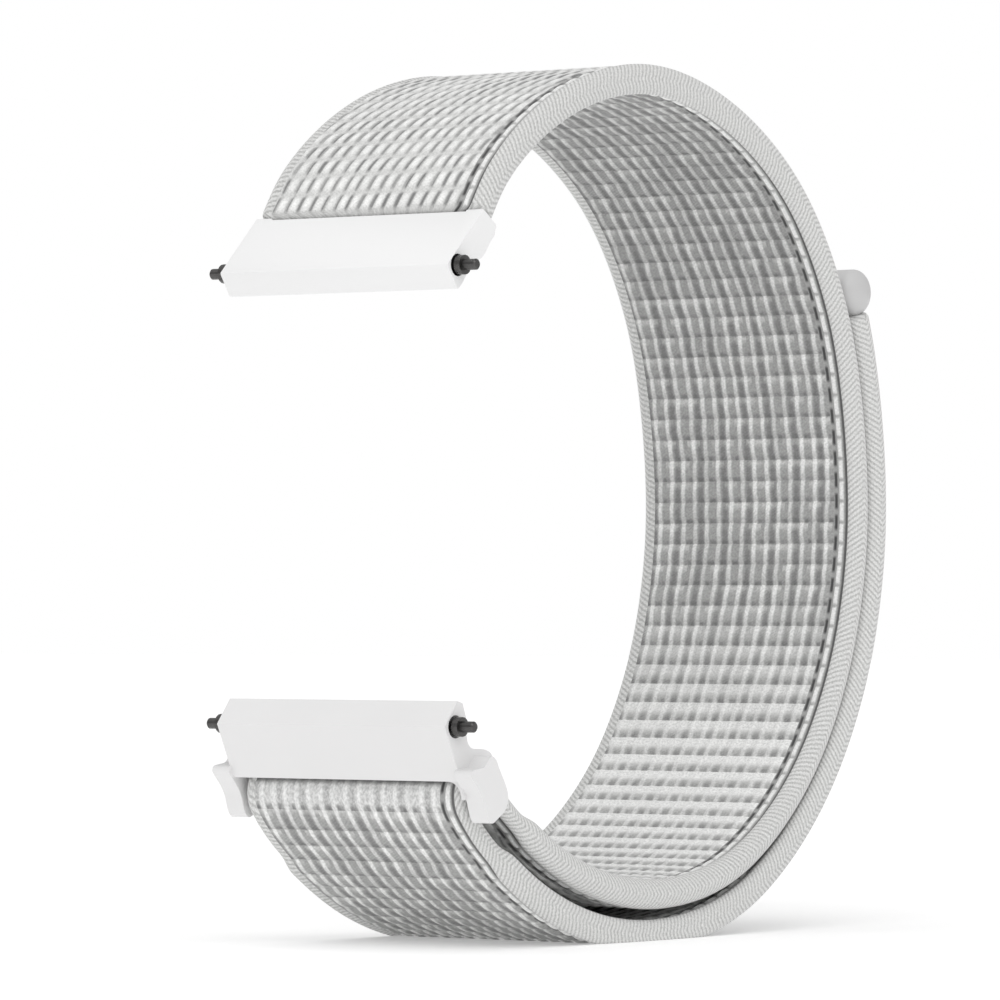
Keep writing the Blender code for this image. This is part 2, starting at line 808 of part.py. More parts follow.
def build_spring(name, bar):
    """The coil between the two tips, as one tube along a helix."""
    reach = head_end() - SPRING_END_GAP - SPRING_WIRE_RADIUS
    bore = BAR_TUBE_RADIUS - BAR_TUBE_WALL
    radius = bore - SPRING_SIDE_GAP - SPRING_WIRE_RADIUS
    curve = bpy.data.curves.new(name, "CURVE")
    curve.dimensions = "3D"
    curve.bevel_depth = SPRING_WIRE_RADIUS
    curve.bevel_resolution = 1
    curve.use_fill_caps = True
    spline = curve.splines.new("POLY")
    count = SPRING_TURNS * SPRING_POINTS + 1
    spline.points.add(count - 1)
    for k in range(count):
        angle = 2 * math.pi * k / SPRING_POINTS
        along = reach * (2 * k / (count - 1) - 1)
        across, up = radius * math.cos(angle), radius * math.sin(angle)
        spline.points[k].co = (along, bar[0] + across, bar[1] + up, 1.0)
    curve.materials.append(material("steel"))
    made = bpy.data.objects.new(name, curve)
    bpy.context.scene.collection.objects.link(made)
    return made


# The whole strap


def move_origin(item, place):
    """Puts an object's origin at a place and leaves its shape where it is."""
    if item.type == "MESH":
        for vertex in item.data.vertices:
            vertex.co -= place
    else:
        for spline in item.data.splines:
            for point in spline.points:
                point.co = (*(point.co.to_3d() - place), 1.0)
    item.location = place


def hang(item, guide):
    """Parents an object to a guide without moving it. Its origin goes to the guide's place."""
    place = guide.matrix_world.translation.copy()
    move_origin(item, place)
    for cutter in item.children:
        cutter.location = -place
    item.location = (0, 0, 0)
    item.parent = guide


def joint_guide(name, point, parent, across=0.0):
    """An empty on a joint's axis, parented to the guide before it."""
    guide = new_guide(name)
    guide.parent = parent
    guide.location = Vector((across, point.x, point.y)) - parent.matrix_world.translation
    bpy.context.view_layer.update()
    return guide


def build_bar(prefix, bar, piece_guide):
    """A whole sprung bar, whose tips slide in the tube and whose tube turns in its bore."""
    turn = joint_guide(f"{prefix}_bar_turn", bar, piece_guide)
    hang(build_tube(f"{prefix}_bar_tube", bar), turn)
    hang(build_spring(f"{prefix}_bar_spring", bar), turn)
    for side, word in ((1, "near"), (-1, "far")):
        across = side * END_PIECE_WIDTH / 2
        slide = joint_guide(f"{prefix}_{word}_tip_slide", bar, turn, across)
        hang(build_tip(f"{prefix}_bar_tip_{word}", bar, side), slide)


def flap_pivot(index):
    """Where a flap bends from the length before it: on the outer face, at the joint."""
    point, direction = TAIL.at(TAIL_HELD_LENGTH + FLAP_LENGTH * index)
    return point - left_of(direction) * (STRAP_THICKNESS / 2)


def build_tail_chain(frame):
    """The flaps of the tail, each hung from the one before."""
    guide = frame
    for index in range(FLAP_COUNT):
        guide = joint_guide(f"tail_bend_{index + 1}", flap_pivot(index), guide)
        hang(build_flap(index), guide)
        if index > 0:
            hang(build_patch(index), guide)
    hang(build_rod(), guide)


def stand_up(frame):
    """Moves the whole strap so that the middle of its footprint is the origin."""
    centre, direction, shift = rod_centre()
    back = max(point.x for point in TAIL.points) + STRAP_THICKNESS / 2
    back = max(back, centre.x + ROD_RADIUS)
    front = LOWER_BAR[0] + min(y for y, z in BUCKLE_BODY_SHARES) * BUCKLE_DROP
    front = min(front, UPPER_BAR[0] + min(y for y, z in UPPER_BODY_SHARES) * UPPER_PIECE_RISE)
    frame.location = (0, -(front + back) / 2, -lowest_height())


def build_strap():
    """Builds every piece and hangs it where it belongs."""
    clear_scene()
    frame = new_guide("strap_frame")
    for piece in (build_band(), build_fold(), build_tail_lower()):
        piece.parent = frame
    upper = joint_guide("upper_piece_swing", ANCHOR, frame)
    hang(build_upper_piece(), upper)
    hang(build_anchor_pin(), upper)
    build_bar("upper", UPPER_BAR, upper)
    lower = joint_guide("buckle_swing", CROSSBAR, frame)
    hang(build_buckle(), lower)
    build_bar("lower", LOWER_BAR, lower)
    build_tail_chain(frame)
    stand_up(frame)


build_strap()
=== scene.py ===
# %% [markdown]
# # A woven watch strap with a hook and loop tail
# The strap is one long woven ribbon with padded edges. It starts in a moulded end piece,
# goes once round the wrist, folds through a buckle and comes back along its own outside,
# where a hook patch holds it. We load the plain solid model first, because every piece that
# we dress has to sit exactly where that model has it.

# %% Load the solid model
import math

import bmesh
import bpy
import numpy as np
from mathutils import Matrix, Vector


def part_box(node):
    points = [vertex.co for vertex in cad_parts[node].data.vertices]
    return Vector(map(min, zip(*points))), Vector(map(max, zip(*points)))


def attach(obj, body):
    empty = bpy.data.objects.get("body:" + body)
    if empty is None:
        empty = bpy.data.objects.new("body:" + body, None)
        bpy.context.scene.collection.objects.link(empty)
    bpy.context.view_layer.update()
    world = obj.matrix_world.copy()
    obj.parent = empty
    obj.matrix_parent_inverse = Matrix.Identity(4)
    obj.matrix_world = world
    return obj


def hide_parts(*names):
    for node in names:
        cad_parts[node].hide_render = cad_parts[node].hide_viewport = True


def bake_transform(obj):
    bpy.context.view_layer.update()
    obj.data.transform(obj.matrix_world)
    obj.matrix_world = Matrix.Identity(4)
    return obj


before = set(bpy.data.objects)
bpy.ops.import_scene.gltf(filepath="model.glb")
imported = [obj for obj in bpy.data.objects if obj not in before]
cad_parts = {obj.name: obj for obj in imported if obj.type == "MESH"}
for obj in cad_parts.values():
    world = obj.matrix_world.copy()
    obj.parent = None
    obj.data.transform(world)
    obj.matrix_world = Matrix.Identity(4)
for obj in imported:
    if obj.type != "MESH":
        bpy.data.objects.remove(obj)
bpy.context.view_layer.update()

MM = 0.001


# %% Two helpers that every piece uses
def linked(name, data):
    """A new object that holds the data, put into the scene."""
    made = bpy.data.objects.new(name, data)
    bpy.context.scene.collection.objects.link(made)
    return made


def mesh_of(name, shape):
    """A mesh made from a finished bmesh, which is then freed."""
    mesh = bpy.data.meshes.new(name)
    shape.to_mesh(mesh)
    shape.free()
    return mesh


print("helpers ready")

# %% [markdown]
# ## The camera
# The photograph looks at the strap from the right of its front, almost level. A long lens
# held half a metre away gives the same gentle perspective. We turn a direction into a
# rotation with `to_track_quat`, which points the camera's own Z away from what it looks at.

# %% Camera
STRAP_SHIFT = Vector((0, -2.48773, 35.20611)) * MM
CAMERA_TURN = math.radians(36.8)
CAMERA_RISE = math.radians(-1.0)
CAMERA_DISTANCE = 511.2 * MM

level = math.cos(CAMERA_RISE)
back = Vector((math.sin(CAMERA_TURN) * level, -math.cos(CAMERA_TURN) * level,
               math.sin(CAMERA_RISE)))
camera = linked("camera", bpy.data.cameras.new("camera"))
camera.location = STRAP_SHIFT + back * CAMERA_DISTANCE
camera.rotation_euler = back.to_track_quat("Z", "Y").to_euler()
camera.data.sensor_width = 36
camera.data.lens = 234.5
camera.data.shift_x = -0.0475
camera.data.shift_y = -0.0128
camera.data.clip_start = 0.01
bpy.context.scene.camera = camera
print("camera at", tuple(round(value, 3) for value in camera.location))

# %% [markdown]
# ## How a finish is wired
# Every finish is a Principled shader with small networks for colour, gloss and relief. The
# helper below keeps the wiring short: each method adds one node and hands back its output.


# %% A helper for finishes
class Finish:
    """A new material, with short ways to add nodes to it."""

    def __init__(self, name, **sockets):
        self.material = bpy.data.materials.new(name)
        self.material.use_nodes = True
        self.tree = self.material.node_tree
        self.shader = self.tree.nodes["Principled BSDF"]
        for socket, value in sockets.items():
            self.shader.inputs[socket.replace("_", " ")].default_value = value

    def node(self, kind, inputs=(), **settings):
        """One node with its settings and inputs. An input is a value or another's output."""
        made = self.tree.nodes.new(kind)
        for key, value in settings.items():
            setattr(made, key, value)
        for key, value in dict(inputs).items():
            self.feed(made.inputs[key], value)
        return made

    def feed(self, socket, value):
        """Links an output to a socket, or sets its value."""
        if isinstance(value, bpy.types.NodeSocket):
            self.tree.links.new(value, socket)
        else:
            socket.default_value = value

    def maths(self, operation, first, second=0.0):
        made = self.node("ShaderNodeMath", {0: first, 1: second}, operation=operation)
        return made.outputs[0]

    def times(self, *factors):
        """The product of these values."""
        product = factors[0]
        for factor in factors[1:]:
            product = self.maths("MULTIPLY", product, factor)
        return product

    def between(self, value, low, high, start=0.0, end=1.0):
        """Runs smoothly from start to end as the value goes from low to high."""
        inputs = {"Value": value, "From Min": low, "From Max": high, "To Min": start,
                  "To Max": end}
        made = self.node("ShaderNodeMapRange", inputs, interpolation_type="SMOOTHSTEP")
        return made.outputs["Result"]

    def spread(self, noise, start, end):
        """Stretches a noise, which keeps to its middle, to run from start to end."""
        return self.between(noise, 0.3, 0.7, start, end)

    def mix(self, share, first, second, kind="MIX"):
        made = self.node("ShaderNodeMix", {0: share, 6: first, 7: second},
                         data_type="RGBA", blend_type=kind)
        return made.outputs[2]

    def noise(self, where, scale, detail=2.0):
        inputs = {"Vector": where, "Scale": scale, "Detail": detail}
        return self.node("ShaderNodeTexNoise", inputs).outputs["Fac"]

    def relief(self, height, distance, strength=1.0):
        """A bump whose height runs from 0 to 1 over a real distance."""
        inputs = {"Height": height, "Distance": distance, "Strength": strength}
        return self.node("ShaderNodeBump", inputs).outputs["Normal"]

    def surface(self, **sockets):
        """Wires the outputs into the shader and hands back the finished material."""
        for socket, value in sockets.items():
            self.feed(self.shader.inputs[socket.replace("_", " ")], value)
        print("made the finish", self.material.name)
        return self.material


def grey(tone, less_blue=0.0):
    """A grey, made a little warmer by less blue."""
    return (tone, tone, tone - less_blue, 1)


print("finish helper ready")

# %% [markdown]
# ## The studio
# A white product photograph is a white floor, a white surround and large soft lights. The
# floor is a plain grid that runs well past the view, and glows a little, so that it fades into
# the surround with no line between them. Suns with wide discs light all of it evenly: one
# overhead, one from the right, and one high in front that shines down into the loop.

# %% Floor and surround
FLOOR_SIDE, FLOOR_GLOW = 4.0, 0.22
SURROUND_STRENGTH = 0.57
floor_mesh = bmesh.new()
bmesh.ops.create_grid(floor_mesh, x_segments=2, y_segments=2, size=FLOOR_SIDE / 2)
floor = linked("floor", mesh_of("floor", floor_mesh))

floor_paper = Finish("floor_paper", Base_Color=grey(0.94), Roughness=0.9,
                     Emission_Color=grey(1.0), Emission_Strength=FLOOR_GLOW)
floor.data.materials.append(floor_paper.material)

world = bpy.data.worlds.new("surround")
bpy.context.scene.world = world
world.use_nodes = True
sky = world.node_tree
choice = sky.nodes.new("ShaderNodeMixShader")
rays = sky.nodes.new("ShaderNodeLightPath")
sky.links.new(rays.outputs["Is Camera Ray"], choice.inputs["Fac"])
sky.links.new(choice.outputs[0], sky.nodes["World Output"].inputs["Surface"])
for background, strength, socket in (
        (sky.nodes["Background"], SURROUND_STRENGTH, 1),
        (sky.nodes.new("ShaderNodeBackground"), 1.0, 2)):
    background.inputs["Color"].default_value = grey(1.0)
    background.inputs["Strength"].default_value = strength
    sky.links.new(background.outputs[0], choice.inputs[socket])
bpy.context.scene.view_settings.view_transform = "Standard"
print("floor and surround ready")


# %% The three soft suns
def soft_sun(name, strength, spread, coming_from):
    """A sun with a wide disc, shining from a direction."""
    sun_data = bpy.data.lights.new(name, "SUN")
    sun_data.energy = strength
    sun_data.angle = math.radians(spread)
    towards = Vector(coming_from).to_track_quat("Z", "Y")
    linked(name, sun_data).rotation_euler = towards.to_euler()


soft_sun("overhead", 0.55, 60, (-0.1, -0.2, 1.0))
soft_sun("side", 0.40, 45, (0.9, -0.4, 0.9))
soft_sun("front", 0.45, 40, (0.45, -0.75, 0.8))
print("lights:", [light.name for light in bpy.data.lights])

# %% [markdown]
# ## The line that the ribbon follows
# The whole strap is one ribbon, so we need one line through its middle. The wrist loop is a
# smooth curve through its two ends and fourteen points between them, given as shares of its
# half depth and half height. The fold is half a circle round the buckle's crossbar. The tail
# follows the loop at a distance that closes from the fold until the two layers meet.


# %% A line that can be asked for any length
class Line:
    """A line in the plane of Y and Z, measured along its length."""

    def __init__(self, points):
        self.points = np.array([tuple(point) for point in points])
        steps = np.linalg.norm(np.diff(self.points, axis=0), axis=1)
        self.lengths = np.concatenate([[0.0], np.cumsum(steps)])
        self.length = self.lengths[-1]

    def place(self, at):
        """Points at these lengths. Past either end the line runs on straight."""
        index = np.clip(np.searchsorted(self.lengths, at) - 1, 0, len(self.points) - 2)
        step = self.points[index + 1] - self.points[index]
        share = (at - self.lengths[index]) / (self.lengths[index + 1] - self.lengths[index])
        return self.points[index] + step * share[:, None]

    def heading(self, at):
        """Directions there, averaged over the neighbouring points."""
        reach = self.length / len(self.points)
        ahead = self.place(at + reach) - self.place(at - reach)
        return ahead / np.linalg.norm(ahead, axis=1)[:, None]


def left_of(directions):
    """Directions turned a quarter turn anticlockwise."""
    return np.stack([-directions[:, 1], directions[:, 0]], axis=1)


def pointing(angle):
    """Directions in the plane of Y and Z, at these angles from Y."""
    return np.stack([np.cos(angle), np.sin(angle)], axis=-1)


def ease(share):
    """Runs from 0 to 1 with a level start and end."""
    return (1 - np.cos(np.pi * np.clip(share, 0, 1))) / 2


# %% The wrist loop
STRAP_WIDTH = 21.5 * MM
STRAP_THICKNESS = 2.35 * MM
LOOP_HALF = np.array((28.5, 31.55)) * MM
LOOP_SHARES = [
    (-0.686, 0.739), (-0.374, 0.928), (0.000, 1.000), (0.373, 0.927), (0.688, 0.742),
    (0.894, 0.466), (0.984, 0.157), (0.992, -0.158), (0.899, -0.469), (0.694, -0.748),
    (0.381, -0.945), (0.000, -1.003), (-0.375, -0.931), (-0.545, -0.849),
]
UPPER_PIECE_RISE = 4.25 * MM
BUCKLE_DROP = 5.26 * MM
CROSSBAR_RADIUS = 0.76 * MM
FOLD_CLEARANCE = 0.2 * MM
FOLD_THICKNESS = 1.62 * MM
FOLD_TURN = math.radians(-143)

UPPER_BAR = np.array((-0.904, 0.509)) * LOOP_HALF
LOWER_BAR = np.array((-0.914, -0.579)) * LOOP_HALF
ANCHOR = UPPER_BAR + np.array((0.568, 0.461)) * UPPER_PIECE_RISE
MOUTH_DIRECTION = np.array((0.65, 0.76)) / np.linalg.norm((0.65, 0.76))
CROSSBAR = LOWER_BAR + np.array((0.738, -1.0)) * BUCKLE_DROP
FOLD_RADIUS = CROSSBAR_RADIUS + FOLD_CLEARANCE + FOLD_THICKNESS / 2
FOLD_START = CROSSBAR - pointing(FOLD_TURN) * FOLD_RADIUS


def smooth_line(points, first_direction, last_direction, steps=12):
    """A cubic curve through the points, with its direction set at both ends."""
    spans = np.linalg.norm(np.diff(points, axis=0), axis=1)
    headings = np.diff(points, axis=0) / spans[:, None]
    before, after = spans[:-1, None], spans[1:, None]
    slopes = (headings[:-1] * after + headings[1:] * before) / (before + after)
    slopes = [first_direction, *slopes, last_direction]
    dense = []
    for a, b, leaving, arriving, span in zip(points, points[1:], slopes, slopes[1:], spans):
        for t in np.arange(steps) / steps:
            bend = span * t * (1 - t) * (leaving * (1 - t) - arriving * t)
            dense.append(a + (b - a) * t * t * (3 - 2 * t) + bend)
    return Line(dense + [points[-1]])


loop_points = [ANCHOR] + [np.array(pair) * LOOP_HALF for pair in LOOP_SHARES] + [FOLD_START]
loop = smooth_line(loop_points, MOUTH_DIRECTION, pointing(FOLD_TURN - math.pi / 2))
print("the wrist loop is", round(loop.length / MM, 1), "mm long")

# %% The tail and the whole ribbon
TAIL_LENGTH = 96.6 * MM
TAIL_HELD = 35.0 * MM
FLAP_LENGTH = (TAIL_LENGTH - TAIL_HELD) / 5
LAYER_GAP = 0.3 * MM
LAYERS_APART = STRAP_THICKNESS + LAYER_GAP
TAIL_MEETS_AT = 50.0 * MM

tail_back = loop.length * np.arange(161) / 160
tail_back = tail_back[: int(np.argmax(tail_back > TAIL_LENGTH)) + 1]
apart = 1 - ease(tail_back / TAIL_MEETS_AT)
apart = LAYERS_APART + (2 * FOLD_RADIUS - LAYERS_APART) * apart
on_loop = loop.length - tail_back
tail = Line(loop.place(on_loop) + left_of(loop.heading(on_loop)) * apart[:, None])

FOLD_LENGTH = math.pi * FOLD_RADIUS
RIBBON_START = -(TAIL_HELD + FOLD_LENGTH + loop.length)
FOLD_FROM, FOLD_TO = -(TAIL_HELD + FOLD_LENGTH), -TAIL_HELD
TABLE_STEP = 0.15 * MM
TAIL_RUNS_ON = 2 * MM


def ribbon_table():
    """Length from the first tail bend, point and facing, all along the ribbon."""
    band_at = np.arange(0, loop.length, TABLE_STEP)
    fold_turn = np.linspace(0, math.pi, 61)
    tail_at = np.arange(0, TAIL_LENGTH + TAIL_RUNS_ON, TABLE_STEP)
    facing = pointing(FOLD_TURN + fold_turn)
    lengths = np.concatenate([
        RIBBON_START + band_at, FOLD_FROM + fold_turn * FOLD_RADIUS, FOLD_TO + tail_at,
    ])
    points = np.concatenate([
        loop.place(band_at), CROSSBAR - facing * FOLD_RADIUS, tail.place(tail_at),
    ])
    facing = np.concatenate([
        left_of(loop.heading(band_at)), facing, left_of(tail.heading(tail_at)),
    ])
    return lengths, points, np.unwrap(np.arctan2(facing[:, 1], facing[:, 0]))


ribbon_lengths, ribbon_points, ribbon_angles = ribbon_table()


def on_ribbon(at):
    """Points and facing directions at lengths along the ribbon, where the model stands."""
    y = np.interp(at, ribbon_lengths, ribbon_points[:, 0]) + STRAP_SHIFT.y
    z = np.interp(at, ribbon_lengths, ribbon_points[:, 1]) + STRAP_SHIFT.z
    return np.stack([y, z], 1), pointing(np.interp(at, ribbon_lengths, ribbon_angles))


print("the ribbon is", round((TAIL_LENGTH - TAIL_HELD - RIBBON_START) / MM), "mm long")

# %% [markdown]
# ## The two woven faces
# The ribbon is a rib weave: thick yarns run across it and stand up as ribs, and white yarns
# run along it in fifteen columns and dip between the ribs. The inside shows slim white yarns
# on a grey ground. The outside is the loop side, with fuller yarns that leave only dark dashes
# between them and lean a little. The shape of the ribs is real geometry, made further down.
# These finishes add what is too fine for that. They read a UV map in millimetres: U runs
# across the ribbon and V along it.

# %% The woven field and its columns
FIELD_LEFT, FIELD_RIGHT = -9.5, 8.42
COLUMNS = 15
COLUMN_PITCH = (FIELD_RIGHT - FIELD_LEFT) / COLUMNS
ROW_PITCH = 1.76
OUTSIDE_SLANT = 0.19
print("columns every", round(COLUMN_PITCH, 2), "mm, ribs every", ROW_PITCH, "mm")


# %% What both woven finishes share
def cloth(name, roughness, sheen):
    """A cloth finish, its map, and the map's two parts: across and along."""
    made = Finish(name, Roughness=roughness, Sheen_Weight=sheen, Sheen_Roughness=0.5)
    where = made.node("ShaderNodeUVMap", uv_map="cloth").outputs["UV"]
    parts = made.node("ShaderNodeSeparateXYZ", {0: where})
    return made, where, parts.outputs["X"], parts.outputs["Y"]


def from_middle(made, value):
    """Distance from the middle of each whole step: 0 there, a half where two steps meet."""
    return made.maths("ABSOLUTE", made.maths("SUBTRACT", made.maths("FRACT", value), 0.5))


def wandering(made, where, across):
    """Which column a place is in. The columns wander a little, as beaten yarns do."""
    drift = made.spread(made.noise(where, 0.16, 1.0), -0.1, 0.1)
    column = made.maths("DIVIDE", made.maths("SUBTRACT", across, FIELD_LEFT), COLUMN_PITCH)
    return made.maths("ADD", column, drift)


def cell_chance(made, column, row):
    """A number between 0 and 1 that is the same all over one cell of the weave."""
    corner = made.node("ShaderNodeCombineXYZ", {
        "X": made.maths("FLOOR", column), "Y": made.maths("FLOOR", row)}).outputs[0]
    return made.node("ShaderNodeTexWhiteNoise", {"Vector": corner},
                     noise_dimensions="2D").outputs["Value"]


def fibrous(made, colour, fibres, tones, gloss, bump):
    """The finished cloth, with its colour and its gloss broken up by the fibres."""
    share = made.spread(fibres, *tones)
    tone = made.node("ShaderNodeCombineXYZ", {"X": share, "Y": share, "Z": share}).outputs[0]
    colour = made.mix(1.0, colour, tone, kind="MULTIPLY")
    return made.surface(Base_Color=colour, Roughness=made.spread(fibres, *gloss), Normal=bump)


def twisted_bump(made, across, along, fibres):
    """Fine slanting ridges, as the plies of a twisted yarn."""
    slant = made.maths("ADD", along, made.times(across, 0.6))
    twist = made.maths("SINE", made.times(slant, 24.0))
    height = made.maths("ADD", made.times(twist, 0.25), fibres)
    return made.relief(height, 0.06 * MM, 0.7)


# %% The inside finish
# Painted light: between these lengths the bottom of the loop, which faces up to the light, is
# painted paler.
LIT_BOTTOM_FROM, LIT_BOTTOM_TO = (-106.0, -86.0), (-42.0, -48.0)
RUBBED_FROM, RUBBED_TO = (-37.3, -36.7), (-34.9, -35.4)
# A painted shadow line on the cloth where it passes under the slot's edge.
SLOT_SHADOW_FROM, SLOT_SHADOW_TO = (-37.7, -37.4), (-36.6, -36.95)
# Painted shade: from the first length to the second the inside grows darker, and it stays darker
# on towards the ribbon's start.
LOOP_SHADE_FROM, LOOP_SHADE_TO, LOOP_SHADE_TONE = -112.0, -150.0, 0.74


def stretch(made, along, start, end):
    """1 on one stretch of the ribbon and 0 off it, with a soft start and end."""
    return made.times(made.between(along, *start), made.between(along, *end))


def light_and_fluff_on(made, along, in_row, fibres, painted_bottom_light):
    """How much white hides the weave: painted light on the upper part of each rib along the
    bottom of the loop, and the loose fluff of a rubbed band.
    """
    raised = made.maths("ADD", in_row, made.times(fibres, 0.3))
    light_and_fluff = made.times(made.between(raised, 0.92, 0.55), made.times(painted_bottom_light, 0.95))
    worn = stretch(made, along, RUBBED_FROM, RUBBED_TO)
    return made.maths("MAXIMUM", light_and_fluff, made.times(worn, made.spread(fibres, 0.48, 0.66)))


def inside_finish():
    """Slim white yarns on a grey ground, with a darker gap between each pair of columns."""
    made, where, across, along = cloth("woven_inside", 0.85, 0.2)
    column = wandering(made, where, across)
    row = made.maths("DIVIDE", along, ROW_PITCH)
    in_row, off_yarn = made.maths("FRACT", row), from_middle(made, column)
    chance = cell_chance(made, column, row)
    fibres = made.noise(where, 5.0, 3.0)
    painted_bottom_light = stretch(made, along, LIT_BOTTOM_FROM, LIT_BOTTOM_TO)
    light_and_fluff = light_and_fluff_on(made, along, in_row, fibres, painted_bottom_light)

    # The grey ground, with painted light on the upper part of each rib, painted paler along the
    # bottom of the loop, and white where painted light or fluff lies.
    painted_crest_light = made.times(made.between(in_row, 0.5, 0.12), made.between(in_row, 0.0, 0.1),
                       made.between(chance, 0.2, 1.0))
    colour = made.mix(painted_crest_light, grey(0.40, 0.005), grey(0.66, 0.01))
    colour = made.mix(made.times(painted_bottom_light, 0.5), colour, grey(0.72, 0.01))
    colour = made.mix(light_and_fluff, colour, grey(0.97, 0.01))

    # The slim white yarns, with painted light that makes them brightest at the top of each rib
    # and dimmer lower down.
    yarn = made.times(made.between(off_yarn, 0.24, 0.08),
                      made.between(in_row, 1.0, 0.2, 0.42, 1.0),
                      made.between(chance, 0.0, 0.8, 0.62, 1.0))
    colour = made.mix(yarn, colour, grey(0.95, 0.01))

    # The dark gaps between pairs of columns, and the ticks under each rib.
    to_pair = from_middle(made, made.maths("ADD", made.maths("DIVIDE", column, 2.0), 0.5))
    # The gaps and ticks are fainter where the bottom of the loop has painted light.
    fainter_in_painted_light = made.maths("SUBTRACT", 1.0, made.times(painted_bottom_light, 0.45))
    gap = made.times(made.between(to_pair, 0.16, 0.05), made.between(in_row, 0.1, 0.5, 0.3, 0.65),
                     made.maths("SUBTRACT", 1.0, made.times(light_and_fluff, 0.9)), fainter_in_painted_light)
    colour = made.mix(gap, colour, grey(0.17))
    tick = made.times(made.between(in_row, 0.70, 0.92), made.between(off_yarn, 0.14, 0.32),
                      made.between(chance, 0.0, 1.0, 0.85, 0.4), fainter_in_painted_light)
    colour = made.mix(tick, colour, grey(0.16))

    # A painted shadow line under the slot's edge, and painted shade that darkens the inside
    # towards the loop's upper part.
    painted_slot_shadow = made.times(stretch(made, along, SLOT_SHADOW_FROM, SLOT_SHADOW_TO), 0.75)
    colour = made.mix(painted_slot_shadow, colour, grey(0.10))
    painted_loop_shade = made.between(along, LOOP_SHADE_FROM, LOOP_SHADE_TO, 1.0, LOOP_SHADE_TONE)
    tones = made.times(painted_loop_shade, 0.80), made.times(painted_loop_shade, 1.08)
    bump = twisted_bump(made, across, along, fibres)
    return fibrous(made, colour, fibres, tones, (0.75, 0.92), bump)


woven_inside = inside_finish()


# %% The outside finish
def outside_finish():
    """Full white yarns, brightest in the middle of each rib, with dark dashes between them."""
    made, where, across, along = cloth("woven_outside", 0.85, 0.3)
    row = made.maths("DIVIDE", along, ROW_PITCH)
    column = wandering(made, where, across)
    column = made.maths("SUBTRACT", column, made.times(row, OUTSIDE_SLANT))
    chance, other_chance = cell_chance(made, column, row), cell_chance(made, row, column)
    fibres = made.noise(where, 5.0, 3.0)
    off_row, off_column = from_middle(made, row), from_middle(made, column)
    white = made.times(made.between(off_row, 0.50, 0.10), made.between(off_column, 0.36, 0.06),
                       made.between(chance, 0.0, 1.0, 0.65, 1.0))
    colour = made.mix(white, grey(0.71, 0.01), grey(1.0, 0.01))
    dash = made.times(made.between(off_column, 0.25, 0.45),
                      made.between(off_row, 0.5, 0.26, 0.2, 0.95),
                      made.between(other_chance, 0.0, 1.0, 0.55, 1.0))
    colour = made.mix(dash, colour, grey(0.18))
    bump = twisted_bump(made, across, along, fibres)
    return fibrous(made, colour, fibres, (0.86, 1.06), (0.78, 0.94), bump)


woven_outside = outside_finish()

# %% [markdown]
# ## The padded edge
# Each edge is a soft tube woven as a fine twill, so tiny ribs slant away from its middle line
# on both sides and meet in a row of chevrons. The map's U is mirrored about that middle line,
# so one slanting wave makes both halves.

# %% The edge finish
EDGE_TWILL_PITCH, EDGE_YARN_PITCH = 0.46, 0.42


def edge_finish():
    """White chevron twill, with its valleys painted grey as painted shade."""
    made, where, across, along = cloth("padded_edge", 0.8, 0.25)
    outward = made.maths("ABSOLUTE", across)
    slanted = made.maths("ADD", along, made.times(outward, 0.6))
    wave = made.maths("SINE", made.times(slanted, 2 * math.pi / EDGE_TWILL_PITCH))
    yarns = made.maths("SINE", made.times(outward, 2 * math.pi / EDGE_YARN_PITCH))
    height = made.maths("ADD", made.times(wave, 0.35), made.times(yarns, 0.12))
    fibres = made.noise(where, 6.0, 3.0)
    height = made.maths("ADD", height, made.times(fibres, 0.5))
    # Painted shade: the colour darkens along the same wave that shapes the valleys.
    shade = made.between(made.maths("ADD", wave, made.times(fibres, 1.6)), -0.4, 1.6)
    colour = made.mix(shade, grey(0.54, 0.01), grey(0.78, 0.01))
    bump = made.relief(height, 0.08 * MM, 0.55)
    return fibrous(made, colour, fibres, (0.82, 1.06), (0.72, 0.88), bump)


padded_edge = edge_finish()

# %% [markdown]
# ## The stitched line
# A ribbon like this is woven on a needle loom, which closes one of its two edges with a chain
# stitch. It shows on both faces beside the right edge as a line of white beads, one for every
# rib, with a dark furrow on each side. The left edge has none.

# %% The stitch finish
FURROW_MIDDLE, STITCH_MIDDLE, EDGE_STARTS = 8.60, 9.16, 9.86


def stitch_finish():
    """White beads between two dark furrows, the inner one broken into dashes."""
    made, where, across, along = cloth("stitched_line", 0.8, 0.2)
    row = made.maths("DIVIDE", along, ROW_PITCH)
    off_bead, off_furrow, off_line = (
        made.maths("ABSOLUTE", made.maths("SUBTRACT", across, middle))
        for middle in (STITCH_MIDDLE, FURROW_MIDDLE, EDGE_STARTS - 0.24))
    bead = made.times(made.between(off_bead, 0.28, 0.14),
                      made.between(from_middle(made, row), 0.49, 0.34, 0.25, 1.0))
    shifted = from_middle(made, made.maths("ADD", row, 0.5))
    dash = made.times(made.between(off_furrow, 0.2, 0.06), made.between(shifted, 0.46, 0.25))
    line = made.times(made.between(off_line, 0.17, 0.07), 0.8)
    dark = made.maths("MAXIMUM", dash, line)
    fibres = made.noise(where, 6.0, 3.0)
    colour = made.mix(dark, grey(0.40, 0.005), grey(0.06))
    colour = made.mix(bead, colour, grey(0.92, 0.01))
    bump = made.relief(fibres, 0.05 * MM, 0.6)
    return fibrous(made, colour, fibres, (0.85, 1.06), (0.75, 0.9), bump)


stitched_line = stitch_finish()

